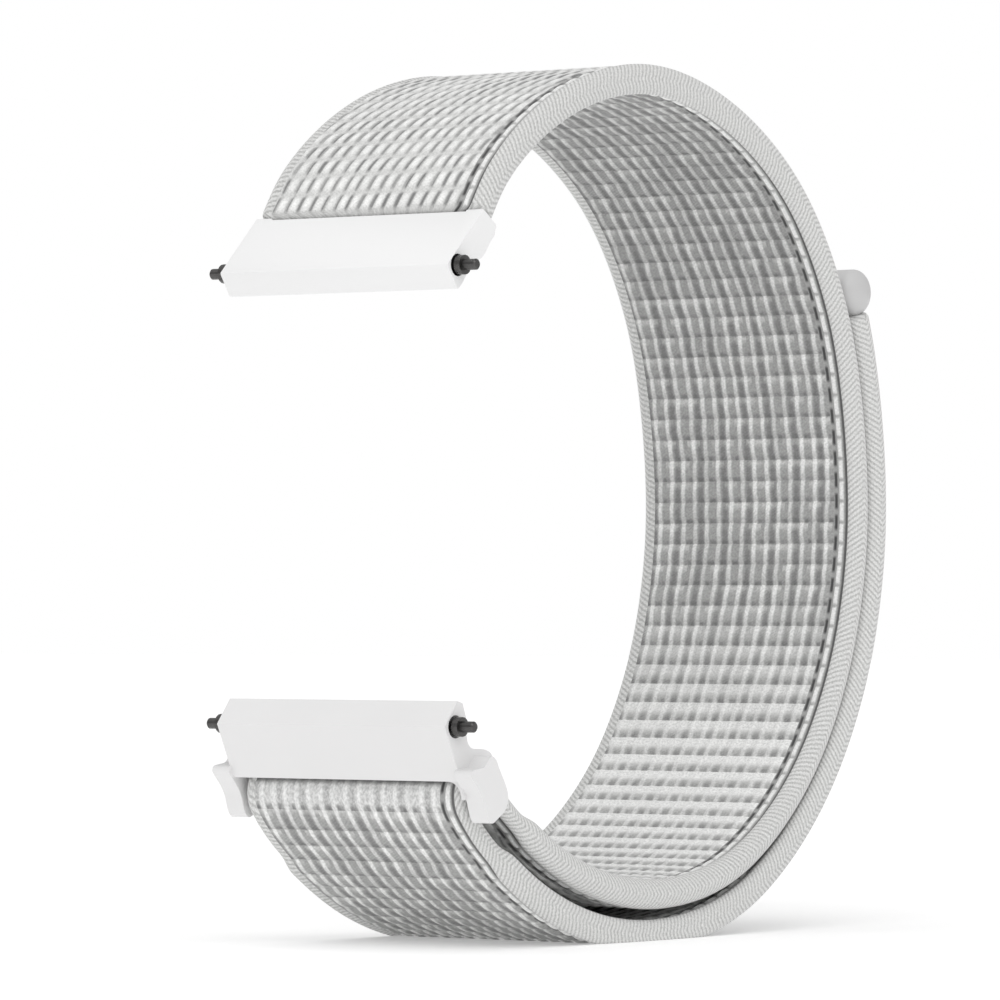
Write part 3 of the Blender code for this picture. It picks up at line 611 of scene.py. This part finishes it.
# %% [markdown]
# ## The shape of the cloth
# A length of ribbon starts as a flat grid, which we roll round the ribbon's section and bend
# along its line. The grid's columns become places round the section: the half-round right
# edge, one face, the left edge and the other face. The rows become lengths along the ribbon.
# Ribs, yarns and the stitched line then push each point of a face out or in.

# %% Places round the section
SECTION_RADIUS = 1.175
EDGE_REACH = 0.8
FACE_HALF = STRAP_WIDTH / MM / 2 - EDGE_REACH
PER_ROW, PER_COLUMN, PER_STITCH = 8, 8, 15
ARC_STEPS = 12


def section_ring(left_face, right_face):
    """Places round the section: which face or edge each is on, and where."""
    quarter = np.linspace(0, math.pi / 2, ARC_STEPS // 2 + 1)
    half = np.linspace(math.pi / 2, -math.pi / 2, ARC_STEPS + 1)
    ring = [(1, 0.0, turn, 0) for turn in quarter[:-1]]
    ring += [(0, x, 0.0, 1) for x in left_face]
    ring += [(-1, 0.0, turn, 0) for turn in half[1:-1]]
    ring += [(0, x, 0.0, -1) for x in right_face[::-1]]
    ring += [(1, 0.0, turn, 0) for turn in -quarter[::-1][1:]]
    return np.array(ring)


woven_places = np.concatenate([
    [FACE_HALF], np.linspace(EDGE_STARTS, FIELD_RIGHT, PER_STITCH),
    np.linspace(FIELD_RIGHT, FIELD_LEFT, PER_COLUMN * COLUMNS + 1)[1:],
    [FIELD_LEFT - 0.06, -FACE_HALF],
])
print(len(woven_places), "places across each woven face")


# %% Ribs, yarns and stitches
RIB_HEIGHT, YARN_HEIGHT, LOOP_HEIGHT = 0.11, 0.08, 0.19
BEAD_HEIGHT, FURROW_DEPTH = 0.24, 0.08


def rise(value, low, high):
    """0 below low, 1 above high and smooth between."""
    share = np.clip((value - low) / (high - low), 0, 1)
    return share * share * (3 - 2 * share)


def inside_height(column, row):
    """How far the inside's weave stands above the sunk face, in mm."""
    rib = np.abs(np.sin(np.pi * row)) ** 0.7
    barrel = np.abs(np.sin(np.pi * column)) ** 0.5
    to_pair = np.abs((column / 2 + 0.5) % 1 - 0.5)
    depth = 0.25 + 0.45 * (to_pair < 0.25)
    yarn = np.exp(-(((column % 1 - 0.5) / 0.15) ** 2))
    return RIB_HEIGHT * rib * (1 - depth * (1 - barrel)) + YARN_HEIGHT * yarn * (0.6 + 0.4 * rib)


def outside_height(column, row):
    """How far the outside's fuller yarns stand above the sunk face, in mm."""
    rib = np.abs(np.sin(np.pi * row)) ** 0.6
    barrel = np.abs(np.sin(np.pi * (column - OUTSIDE_SLANT * row))) ** 0.6
    return LOOP_HEIGHT * (0.35 + 0.65 * rib) * (0.3 + 0.7 * barrel)


def stitch_height(across, row):
    """How far the stitched line stands above the sunk face, in mm."""
    bead = np.exp(-(((across - STITCH_MIDDLE) / 0.22) ** 2))
    return BEAD_HEIGHT * bead * np.abs(np.sin(np.pi * row)) ** 0.4 - FURROW_DEPTH


def weave_height(across, along, face):
    """Height of the weave, the stitched line beside it and the plain edges."""
    column, row = (across - FIELD_LEFT) / COLUMN_PITCH, along / ROW_PITCH
    field = np.where(face > 0, outside_height(column, row), inside_height(column, row))
    stitched = rise(across, FIELD_RIGHT - 0.08, FIELD_RIGHT + 0.08)
    field = field * (1 - stitched) + stitch_height(across, row) * stitched
    on_edge = rise(across, EDGE_STARTS - 0.06, EDGE_STARTS + 0.04)
    on_edge = on_edge + rise(-across, -FIELD_LEFT - 0.06, -FIELD_LEFT + 0.04)
    return field * (1 - on_edge)


print("tallest rib:", round(float(inside_height(0.5, 0.5)), 3), "mm")

# %% Width and thickness along the ribbon
FOLD_NARROWER, FOLD_FLATTER = 0.6, 0.45
FOLD_STAYS, FOLD_EASES = 4.4, 2.5
SUNK = 0.24
NECK_LENGTH, NECK_WIDTH, NECK_THICKNESS = 2.3, 18.4, 0.6
TONGUE_STARTS, TONGUE_WIDTH, TONGUE_THICKNESS = 57.86, 17.6, 1.2


def ribbon_size(along):
    """Width, thickness and a share of the full weave at lengths along the ribbon, in mm."""
    from_fold = np.maximum(np.maximum(FOLD_FROM / MM - along, along - FOLD_TO / MM), 0)
    drawn_in = 1 - ease((from_fold - FOLD_STAYS) / FOLD_EASES)
    width = STRAP_WIDTH / MM - FOLD_NARROWER * drawn_in
    thickness = 2 * SECTION_RADIUS + (FOLD_THICKNESS / MM - 2 * SECTION_RADIUS) * drawn_in
    weave = 1 - FOLD_FLATTER * drawn_in
    neck = 1 - rise(along - RIBBON_START / MM, NECK_LENGTH, NECK_LENGTH + 0.4)
    tongue = rise(along, TONGUE_STARTS, TONGUE_STARTS + 0.3)
    for share, w, t in ((neck, NECK_WIDTH, NECK_THICKNESS),
                        (tongue, TONGUE_WIDTH, TONGUE_THICKNESS)):
        width = width + (w - width) * share
        thickness = thickness + (t - thickness) * share
        weave = weave * (1 - share)
    return width, thickness, weave


print("width and thickness at the fold:", ribbon_size(np.array([-37.0]))[:2])

# %% Roll a grid into a length of ribbon
PAD_HALF, PAD_RECESS, RECESS_EDGE = 7.7, 0.6, 0.1
CLOTH_FINISHES = (woven_inside, woven_outside, stitched_line, padded_edge)
INSIDE, OUTSIDE, STITCHED, PADDED = range(4)
beside_pad = [FACE_HALF, 9.2, 8.4, PAD_HALF + RECESS_EDGE + 0.05]
under_pad = list(np.linspace(PAD_HALF + RECESS_EDGE, -PAD_HALF - RECESS_EDGE, 9))
covered_places = np.array(beside_pad + under_pad + [-x for x in reversed(beside_pad)])


def ribbon_shape(ring, along, padded):
    """Across and height of every point, as arrays of lengths by places, in mm."""
    width, thickness, weave = (value[:, None] for value in ribbon_size(along))
    side, face_x, turn, face = ring.T
    radius = thickness / 2
    reach = radius * EDGE_REACH / SECTION_RADIUS
    edge = width / 2 - reach
    across = np.where(side != 0, side * (edge + reach * np.cos(turn)),
                      face_x * edge / FACE_HALF)
    sunk = SUNK * weave * (1 - rise(np.abs(face_x), EDGE_STARTS - 0.15, FACE_HALF))
    woven = weave_height(face_x[None, :], along[:, None], face[None, :]) * weave
    if padded:
        hidden = (face > 0)[None, :]
        recess = PAD_RECESS * weave * (np.abs(face_x) <= PAD_HALF + RECESS_EDGE + 0.01)
        sunk = np.where(hidden, sunk + recess, sunk)
        woven = np.where(hidden, 0.0, woven)
    height = np.where(side != 0, radius * np.sin(turn), face * (radius - sunk + woven))
    return across, height


def across_map(ring):
    """The map's U in mm: across the ribbon, mirrored about the middle of each edge."""
    side, face_x, turn, _ = ring.T
    round_edge = FACE_HALF + SECTION_RADIUS * (math.pi / 2 - np.abs(turn))
    return np.where(side != 0, side * round_edge, face_x)


def close_and_link(name, mesh):
    """Joins the seam, closes both ends, turns the faces out and links the object."""
    shell = bmesh.new()
    shell.from_mesh(mesh)
    bmesh.ops.remove_doubles(shell, verts=shell.verts, dist=1e-8)
    rim = [edge for edge in shell.edges if edge.is_boundary]
    for edge in rim:
        edge.smooth = False
    bmesh.ops.holes_fill(shell, edges=rim, sides=0)
    bmesh.ops.recalc_face_normals(shell, faces=shell.faces)
    shell.to_mesh(mesh)
    shell.free()
    mesh.shade_smooth()
    for finish in CLOTH_FINISHES:
        mesh.materials.append(finish)
    return linked(name, mesh)


def ribbon_length(name, first, last, padded=False):
    """A length of the woven ribbon, from the first length to the last, in mm."""
    ring = section_ring(covered_places if padded else woven_places, woven_places)
    rows = round((last - first) / ROW_PITCH * PER_ROW)
    along = np.linspace(first, last, rows + 1)
    grid = bmesh.new()
    grid.loops.layers.uv.new("cloth")
    bmesh.ops.create_grid(grid, x_segments=len(ring) - 1, y_segments=rows, size=0.5)
    mesh = mesh_of(name, grid)
    flat = np.empty((len(mesh.vertices), 3), np.float32)
    mesh.vertices.foreach_get("co", flat.ravel())
    place = np.rint((flat[:, 0] + 0.5) * (len(ring) - 1)).astype(int)
    step = np.rint((flat[:, 1] + 0.5) * rows).astype(int)
    across, height = ribbon_shape(ring, along, padded)
    points, facing = on_ribbon(along * MM)
    x = across[step, place] * MM
    yz = points[step] + facing[step] * (height[step, place] * MM)[:, None]
    yz[:, 1] = np.maximum(yz[:, 1], 0)
    mesh.vertices.foreach_set("co", np.column_stack([x, yz]).ravel())
    corners = np.empty(len(mesh.loops), int)
    mesh.loops.foreach_get("vertex_index", corners)
    uv = np.column_stack([across_map(ring)[place], along[step]])[corners]
    mesh.uv_layers["cloth"].uv.foreach_set("vector", uv.astype(np.float32).ravel())
    middle = uv[:, 0].reshape(-1, 4).mean(1)
    upward = ring[place[corners], 3].reshape(-1, 4).max(1) > 0
    finish = np.where(upward, OUTSIDE, INSIDE)
    finish = np.where(middle > FIELD_RIGHT, STITCHED, finish)
    finish = np.where((middle > EDGE_STARTS) | (middle < FIELD_LEFT), PADDED, finish)
    mesh.polygons.foreach_set("material_index", finish)
    made = close_and_link(name, mesh)
    return made


# %% [markdown]
# ## The fixed lengths of the ribbon
# Three lengths stay with the strap's own body: the front of the loop, its back, and the part
# that runs under the loop, round the fold and along the held start of the tail. They are cut
# in the middle of a rib, where the weave is level along the ribbon, so no seam shows.

# %% Weave the fixed lengths
def middle_of_rib(along):
    """The nearest length that is in the middle of a rib."""
    return (round(along / ROW_PITCH - 0.5) + 0.5) * ROW_PITCH


NECK_HIDDEN = 0.9
HALF_FLAP = FLAP_LENGTH / MM / 2
FRONT_TO, BACK_TO = -128.0, -70.0
FIXED_CUTS = [RIBBON_START / MM + NECK_HIDDEN, middle_of_rib(FRONT_TO),
              middle_of_rib(BACK_TO), -HALF_FLAP]
FIXED_NODES = [("strap_band",), ("strap_band",), ("strap_band", "strap_fold", "tail_lower")]
for name, first, last, nodes in zip(
        ("woven_front", "woven_back", "woven_fold"), FIXED_CUTS, FIXED_CUTS[1:], FIXED_NODES):
    piece = ribbon_length(name, first, last)
    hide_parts(*nodes)
    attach(piece, "strap")
    print(name, len(piece.data.polygons), "faces")

# %% [markdown]
# ## The tail that peels off
# The tail bends at five places as it is pulled off. One stiff piece per flap would open
# gaps at the bends, so each piece here runs from the middle of one flap to the middle of the
# next.

# %% Weave the tail
ROD_RADIUS, TAIL_IN_ROD = 1.87 * MM, 0.65 * MM
TAIL_END = (TAIL_LENGTH - TAIL_HELD - ROD_RADIUS + TAIL_IN_ROD) / MM


def blend_at_bend(piece):
    """Bakes the piece's place into its own mesh."""
    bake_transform(piece)


for k in range(5):
    bend = FLAP_LENGTH / MM * k
    piece = ribbon_length(f"woven_bend_{k + 1}", bend - HALF_FLAP, bend + HALF_FLAP, padded=k > 0)
    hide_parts(f"tail_flap_{k + 1}")
    blend_at_bend(piece)
    print(piece.name, len(piece.data.polygons), "faces")
tip = ribbon_length("woven_tip", 4.5 * FLAP_LENGTH / MM, TAIL_END, padded=True)
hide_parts("tail_flap_5")
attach(tip, "flap_5")
print(tip.name, len(tip.data.polygons), "faces")

# %% [markdown]
# ## The hook pads
# The inside of the tail carries a pad of tiny hooks that grip the loops of the strap's
# outside. The pad is cut at the same places as the weave. Its backing is a thin plate with
# a pebbled surface.

# %% The hook pad finish
def hook_finish():
    """Milky nylon with a close pattern of small hooks."""
    made, where = cloth("hook_pad", 0.5, 0.1)[:2]
    dots = made.node("ShaderNodeTexVoronoi", {"Vector": where, "Scale": 1.9,
                                              "Randomness": 0.35}).outputs["Distance"]
    hook = made.between(dots, 0.4, 0.15)
    fibres = made.noise(where, 5.0, 2.0)
    colour = made.mix(hook, grey(0.66, 0.01), grey(0.9, 0.01))
    bump = made.relief(made.maths("ADD", hook, made.times(fibres, 0.2)), 0.2 * MM)
    return made.surface(Base_Color=colour, Roughness=made.spread(fibres, 0.42, 0.6), Normal=bump)


hook_pad = hook_finish()

# %% Lay the hook pads
PAD_FACE, PAD_BACK = 0.925, 0.425
PAD_END = 56.41


def pad_length(name, first, last):
    """A length of the hook pad, in its recess on the inside of the tail."""
    plate = bmesh.new()
    plate.loops.layers.uv.new("cloth")
    bmesh.ops.create_grid(plate, x_segments=16, y_segments=24, size=0.5, calc_uvs=True)
    grown = bmesh.ops.extrude_face_region(plate, geom=list(plate.faces), use_keep_orig=True)
    top = {item for item in grown["geom"] if isinstance(item, bmesh.types.BMVert)}
    along = first + (last - first) * (np.array([v.co.y for v in plate.verts]) + 0.5)
    points, facing = on_ribbon(along * MM)
    layer = plate.loops.layers.uv["cloth"]
    for vertex, at, point, out in zip(list(plate.verts), along, points, facing):
        across = vertex.co.x * 2 * PAD_HALF
        for corner in vertex.link_loops:
            corner[layer].uv = (across, at)
        height = (PAD_FACE if vertex in top else PAD_BACK) * MM
        y, z = point + out * height
        vertex.co = (across * MM, y, max(z, 0.0))
    bmesh.ops.recalc_face_normals(plate, faces=plate.faces)
    mesh = mesh_of(name, plate)
    mesh.shade_smooth()
    mesh.set_sharp_from_angle(angle=math.radians(40))
    mesh.materials.append(hook_pad)
    made = linked(name, mesh)
    return made


for k in range(1, 5):
    bend = FLAP_LENGTH / MM * k
    first = bend + LAYER_GAP / MM if k == 1 else bend - HALF_FLAP
    last = PAD_END if k == 4 else bend + HALF_FLAP
    pad = pad_length(f"hook_pad_{k}", first, last)
    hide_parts(f"hook_patch_{k}")
    if k == 1:
        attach(pad, "flap_2")
    else:
        blend_at_bend(pad)
    print(pad.name, "from", round(first, 1), "to", round(last, 1), "mm")

# %% [markdown]
# ## Moulded white plastic
# The end pieces and the rod are one hard white plastic. Moulded plastic is never quite even:
# a very fine grain breaks up its highlights, and its gloss changes slowly over the surface.

# %% The plastic finish
def plastic_finish(name, dullest, brightest):
    """White plastic with a faint grain and an uneven gloss."""
    made = Finish(name, Roughness=0.4, IOR=1.46)
    where = made.node("ShaderNodeTexCoord").outputs["Object"]
    clouds = made.noise(where, 180.0, 2.0)
    grain = made.noise(where, 9000.0, 2.0)
    low, high = ((tone, tone * 0.995, tone * 0.995, 1) for tone in (dullest, brightest))
    colour = made.mix(clouds, low, high)
    return made.surface(Base_Color=colour, Roughness=made.spread(clouds, 0.34, 0.46),
                        Normal=made.relief(grain, 0.01 * MM, 0.35))


white_plastic = plastic_finish("white_plastic", 0.80, 0.83)
# The rod's copy of the same white plastic is painted darker, as painted shade.
shaded_rod_plastic = plastic_finish("shaded_rod_plastic", 0.55, 0.60)

# %% [markdown]
# ## Rounded edges
# A moulding has no sharp edges. We join a solid's loose triangles, clear its flat faces of
# edges that they don't need, and let a Bevel round the edges that are left.

# %% Two steps that finish a moulding
EDGE_ROUND = 0.12 * MM
JOIN_WITHIN = 0.002 * MM
FLAT_BELOW, ROUND_ABOVE = math.radians(1), math.radians(32)


def clean_solid(mesh):
    """Joins loose triangles and clears flat faces of edges that they don't need."""
    solid = bmesh.new()
    solid.from_mesh(mesh)
    bmesh.ops.remove_doubles(solid, verts=solid.verts, dist=JOIN_WITHIN)
    bmesh.ops.dissolve_limit(solid, angle_limit=FLAT_BELOW, verts=solid.verts,
                             edges=solid.edges)
    bmesh.ops.recalc_face_normals(solid, faces=solid.faces)
    solid.to_mesh(mesh)
    solid.free()


def finish_moulding(made, node, body, rounding):
    """Rounds a moulding's edges, paints it and ties it to its body."""
    made.data.shade_smooth()
    made.data.materials.append(white_plastic)
    soften = made.modifiers.new("soften", "BEVEL")
    soften.width, soften.segments, soften.harden_normals = rounding, 3, True
    soften.limit_method, soften.angle_limit = "ANGLE", ROUND_ABOVE
    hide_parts(node)
    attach(made, body)
    print(made.name, len(made.data.polygons), "faces before rounding")


print("edges are rounded by", EDGE_ROUND / MM, "mm")

# %% [markdown]
# ## The buckle
# The buckle is one moulding: a wall in front of the ribbon, an arm at each end of the wall, and
# the crossbar between the arms that the ribbon folds round. Each part of it is a prism along X.
# A shoulder behind each end of the wall, level with it, carries the arm, which stands out to
# the side and curves back under the wall. A web rounds the corner of the slot on the right.
# Joining the prisms with a Boolean gives one skin for the Bevel to round.

# %% The buckle's outlines, as shares of the crossbar's drop below the bar
WALL_HALF = 10.95 * MM
ARM_INSIDE, ARM_OUTSIDE = 10.85 * MM, 12.5 * MM
BAR_HOLE_RADIUS = 0.86 * MM
BUCKLE_ROUND = 0.2 * MM
WALL_OUTLINE = [
    (0.045, 0.364), (-0.245, 0.000), (0.125, -0.780), (0.236, -0.780), (0.264, -0.560),
    (0.300, -0.310), (0.262, -0.120), (0.250, 0.120), (0.170, 0.330),
]
ARM_OUTLINE = [
    (-0.010, -0.690), (0.020, -0.615), (0.140, -0.595), (0.310, -0.575), (0.390, -0.460),
    (0.480, -0.410), (0.575, -0.470), (0.630, -0.580), (0.691, -0.673), (0.809, -0.855),
    (0.865, -1.018), (0.800, -1.190), (0.580, -1.325), (0.470, -1.385), (0.385, -1.330),
    (0.330, -1.200), (0.290, -1.060), (0.225, -0.950), (0.140, -0.850), (0.050, -0.760),
]
SHOULDER_OUTLINE = [
    (0.150, -0.150), (0.255, -0.120), (0.285, -0.230), (0.350, -0.300), (0.435, -0.321),
    (0.640, -0.322), (0.800, -0.360), (0.890, -0.450), (0.860, -0.530), (0.750, -0.490),
    (0.560, -0.530), (0.400, -0.640), (0.250, -0.660), (0.150, -0.600),
]
SHOULDER_INSIDE = 9.95 * MM
WEB_WIDTH, WEB_DROP_SHARE, WEB_OVERLAP_SHARE = 1.3 * MM, 0.26, 0.04
WEB_FRONT_SHARE, WEB_BACK_SHARE = 0.165, 0.258


def smoothed(outline):
    """Cuts every corner of an outline at a quarter of its sides, twice over."""
    points = np.array(outline)
    for _ in range(2):
        ahead = np.roll(points, -1, axis=0)
        points = np.stack([points * 0.75 + ahead * 0.25, points * 0.25 + ahead * 0.75], 1)
        points = points.reshape(-1, 2)
    return points


def circle(centre, radius, steps=40):
    return centre + radius * pointing(2 * np.pi * np.arange(steps) / steps)


def extruded(name, corners, step):
    """A solid from a flat outline, drawn out by one step."""
    solid = bmesh.new()
    face = solid.faces.new([solid.verts.new(corner) for corner in corners])
    grown = bmesh.ops.extrude_face_region(solid, geom=[face])
    moved = [item for item in grown["geom"] if isinstance(item, bmesh.types.BMVert)]
    bmesh.ops.translate(solid, verts=moved, vec=step)
    bmesh.ops.recalc_face_normals(solid, faces=solid.faces)
    return linked(name, mesh_of(name, solid))


def prism(name, outline, first, last):
    """A prism along X from an outline in the loop's own Y and Z."""
    corners = [(first, y + STRAP_SHIFT.y, z + STRAP_SHIFT.z) for y, z in outline]
    return extruded(name, corners, (last - first, 0, 0))


def below_bar(outline):
    """An outline's places, from shares of the drop below the buckle's bar."""
    return LOWER_BAR + np.array(outline) * BUCKLE_DROP


def combine(piece, tool, operation):
    """Joins the tool to the piece or cuts it away, and removes the tool."""
    change = piece.modifiers.new("combine", "BOOLEAN")
    change.operation, change.solver, change.object = operation, "EXACT", tool
    evaluated = piece.evaluated_get(bpy.context.evaluated_depsgraph_get())
    combined = bpy.data.meshes.new_from_object(evaluated)
    piece.modifiers.remove(change)
    piece.data = combined
    bpy.data.objects.remove(tool)


def corner_web():
    """The web that rounds the corner of the slot beside the right arm."""
    lowest = WALL_OUTLINE[2][1]
    turns = np.linspace(0, math.pi / 2, 9)
    arc = [(ARM_INSIDE - WEB_WIDTH * (1 - math.sin(turn)),
            lowest - WEB_DROP_SHARE * (1 - math.cos(turn))) for turn in turns]
    top = lowest + WEB_OVERLAP_SHARE
    arc += [(WALL_HALF, arc[-1][1]), (WALL_HALF, top), (arc[0][0], top)]
    front = LOWER_BAR[0] + WEB_FRONT_SHARE * BUCKLE_DROP + STRAP_SHIFT.y
    corners = [(x, front, LOWER_BAR[1] + share * BUCKLE_DROP + STRAP_SHIFT.z) for x, share in arc]
    return extruded("web", corners, (0, (WEB_BACK_SHARE - WEB_FRONT_SHARE) * BUCKLE_DROP, 0))


# %% Build the buckle
buckle = prism("buckle_moulding", below_bar(WALL_OUTLINE), -WALL_HALF, WALL_HALF)
for outline, inner, outer in ((SHOULDER_OUTLINE, SHOULDER_INSIDE, WALL_HALF),
                              (ARM_OUTLINE, ARM_INSIDE, ARM_OUTSIDE)):
    outline = smoothed(below_bar(outline))
    combine(buckle, prism("left_side", outline, -outer, -inner), "UNION")
    combine(buckle, prism("right_side", outline, inner, outer), "UNION")
combine(buckle, corner_web(), "UNION")
bar, bar_half = circle(CROSSBAR, CROSSBAR_RADIUS), ARM_INSIDE + EDGE_ROUND
combine(buckle, prism("crossbar", bar, -bar_half, bar_half), "UNION")
hole = circle(LOWER_BAR, BAR_HOLE_RADIUS)
combine(buckle, prism("bar_hole", hole, -ARM_OUTSIDE, ARM_OUTSIDE), "DIFFERENCE")
clean_solid(buckle.data)
finish_moulding(buckle, "buckle", "buckle", BUCKLE_ROUND)

# %% [markdown]
# ## The upper end piece
# The solid model already has its true outline and hole. Its ears stand a little proud of its
# ends and its front. They are level in the photograph, so we copy the solid and keep only
# what lies inside a prism that is as wide as the buckle's wall.

# %% Trim and round the upper end piece
TRIM_OUTLINE = [(-3.336, -3.01), (4.0, -3.01), (4.0, 2.99), (2.730, 2.99)]
TRIM_HALF = WALL_HALF - 0.01 * MM
upper_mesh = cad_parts["upper_end_piece"].data.copy()
clean_solid(upper_mesh)
upper_moulding = linked("upper_moulding", upper_mesh)
around = UPPER_BAR + np.array(TRIM_OUTLINE) * UPPER_PIECE_RISE
combine(upper_moulding, prism("trim", around, -TRIM_HALF, TRIM_HALF), "INTERSECT")
clean_solid(upper_moulding.data)
finish_moulding(upper_moulding, "upper_end_piece", "upper_end", EDGE_ROUND)

# %% [markdown]
# ## The rod at the tail's end
# A round rod across the end of the tail keeps it from slipping back through the buckle. It
# is turned from half an outline: a point on the axis, a quarter-round dome, the straight
# side and the other dome, spun once round the axis.

# %% Turn the rod
ROD_HALF, ROD_DOME = 10.8 * MM, 1.1 * MM
low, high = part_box("tail_rod")
turns = [math.pi / 2 * k / 8 for k in range(9)]
corners = [(-ROD_HALF + ROD_DOME * (1 - math.cos(turn)), ROD_RADIUS * math.sin(turn))
           for turn in turns]
corners += [(-x, r) for x, r in reversed(corners)]

rod_shape = bmesh.new()
points = [rod_shape.verts.new((x, 0.0, r)) for x, r in corners]
edges = [rod_shape.edges.new(pair) for pair in zip(points, points[1:])]
bmesh.ops.spin(rod_shape, geom=points + edges, cent=(0, 0, 0), axis=(1, 0, 0), dvec=(0, 0, 0),
               angle=2 * math.pi, steps=48, use_merge=True)
bmesh.ops.remove_doubles(rod_shape, verts=rod_shape.verts, dist=1e-7)
bmesh.ops.recalc_face_normals(rod_shape, faces=rod_shape.faces)
bmesh.ops.translate(rod_shape, verts=rod_shape.verts, vec=(low + high) / 2)
rod = linked("stop_rod", mesh_of("stop_rod", rod_shape))
rod.data.shade_smooth()
rod.data.materials.append(shaded_rod_plastic)
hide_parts("tail_rod")
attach(rod, "flap_5")
print(rod.name, "at", tuple(round(value / MM, 2) for value in (low + high) / 2))

# %% [markdown]
# ## The sprung bars
# Each bar is a steel tube with a spring inside and a sprung tip at both ends. The solid
# model's own turned shapes are already right, so they keep their meshes and only get a steel:
# painted dark as a painted reflection, fairly glossy, with fine rings left by the lathe.

# %% The steel finish
RING_PITCH = 0.07 * MM


def steel_finish():
    """Turned steel with fine rings along X."""
    made = Finish("turned_steel", Metallic=1.0, Roughness=0.3)
    where = made.node("ShaderNodeTexCoord").outputs["Object"]
    along = made.node("ShaderNodeSeparateXYZ", {0: where}).outputs["X"]
    rings = made.maths("SINE", made.times(along, 2 * math.pi / RING_PITCH))
    stain = made.noise(where, 700.0, 3.0)
    # Painted reflection: the colour is far darker than bare steel, to stand in for a dark
    # surround seen in the metal.
    colour = made.mix(stain, (0.05, 0.048, 0.047, 1), (0.16, 0.157, 0.155, 1))
    return made.surface(Base_Color=colour, Roughness=made.spread(stain, 0.22, 0.42),
                        Normal=made.relief(rings, 0.006 * MM, 0.5))


turned_steel = steel_finish()
for node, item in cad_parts.items():
    if node == "anchor_pin" or node.endswith(("_tube", "_tip_near", "_tip_far")):
        item.data.materials.clear()
        item.data.materials.append(turned_steel)
        print("steel on", node)

# %% [markdown]
# ## The springs
# A pressed tip shortens its spring. Each spring keeps its coils from the solid model, cut in
# two at its middle.

# %% Springs cut in two
def half_of_spring(name, node, middle, outward):
    """The half of a spring on one side of its middle, closed where it was cut."""
    half = bmesh.new()
    half.from_mesh(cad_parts[node].data)
    bmesh.ops.remove_doubles(half, verts=half.verts, dist=1e-7)
    bmesh.ops.bisect_plane(half, geom=half.verts[:] + half.edges[:] + half.faces[:],
                           plane_co=middle, plane_no=outward, clear_inner=True)
    cut = [edge for edge in half.edges if edge.is_boundary]
    bmesh.ops.holes_fill(half, edges=cut, sides=0)
    bmesh.ops.recalc_face_normals(half, faces=half.faces)
    coils = mesh_of(name, half)
    coils.materials.append(turned_steel)
    coils.shade_smooth()
    return linked(name, coils)


for bar_name in ("upper", "lower"):
    node = f"{bar_name}_bar_spring"
    low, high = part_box(node)
    middle = (low + high) / 2
    for side in ("far", "near"):
        tip_low, tip_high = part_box(f"{bar_name}_bar_tip_{side}")
        outward = math.copysign(1.0, (tip_low + tip_high)[0])
        spring = half_of_spring(f"{bar_name}_coils_{side}", node, middle, (outward, 0, 0))
        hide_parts(node)
        outer = high[0] if outward > 0 else low[0]
        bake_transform(spring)
        print(spring.name, len(spring.data.polygons), "faces")
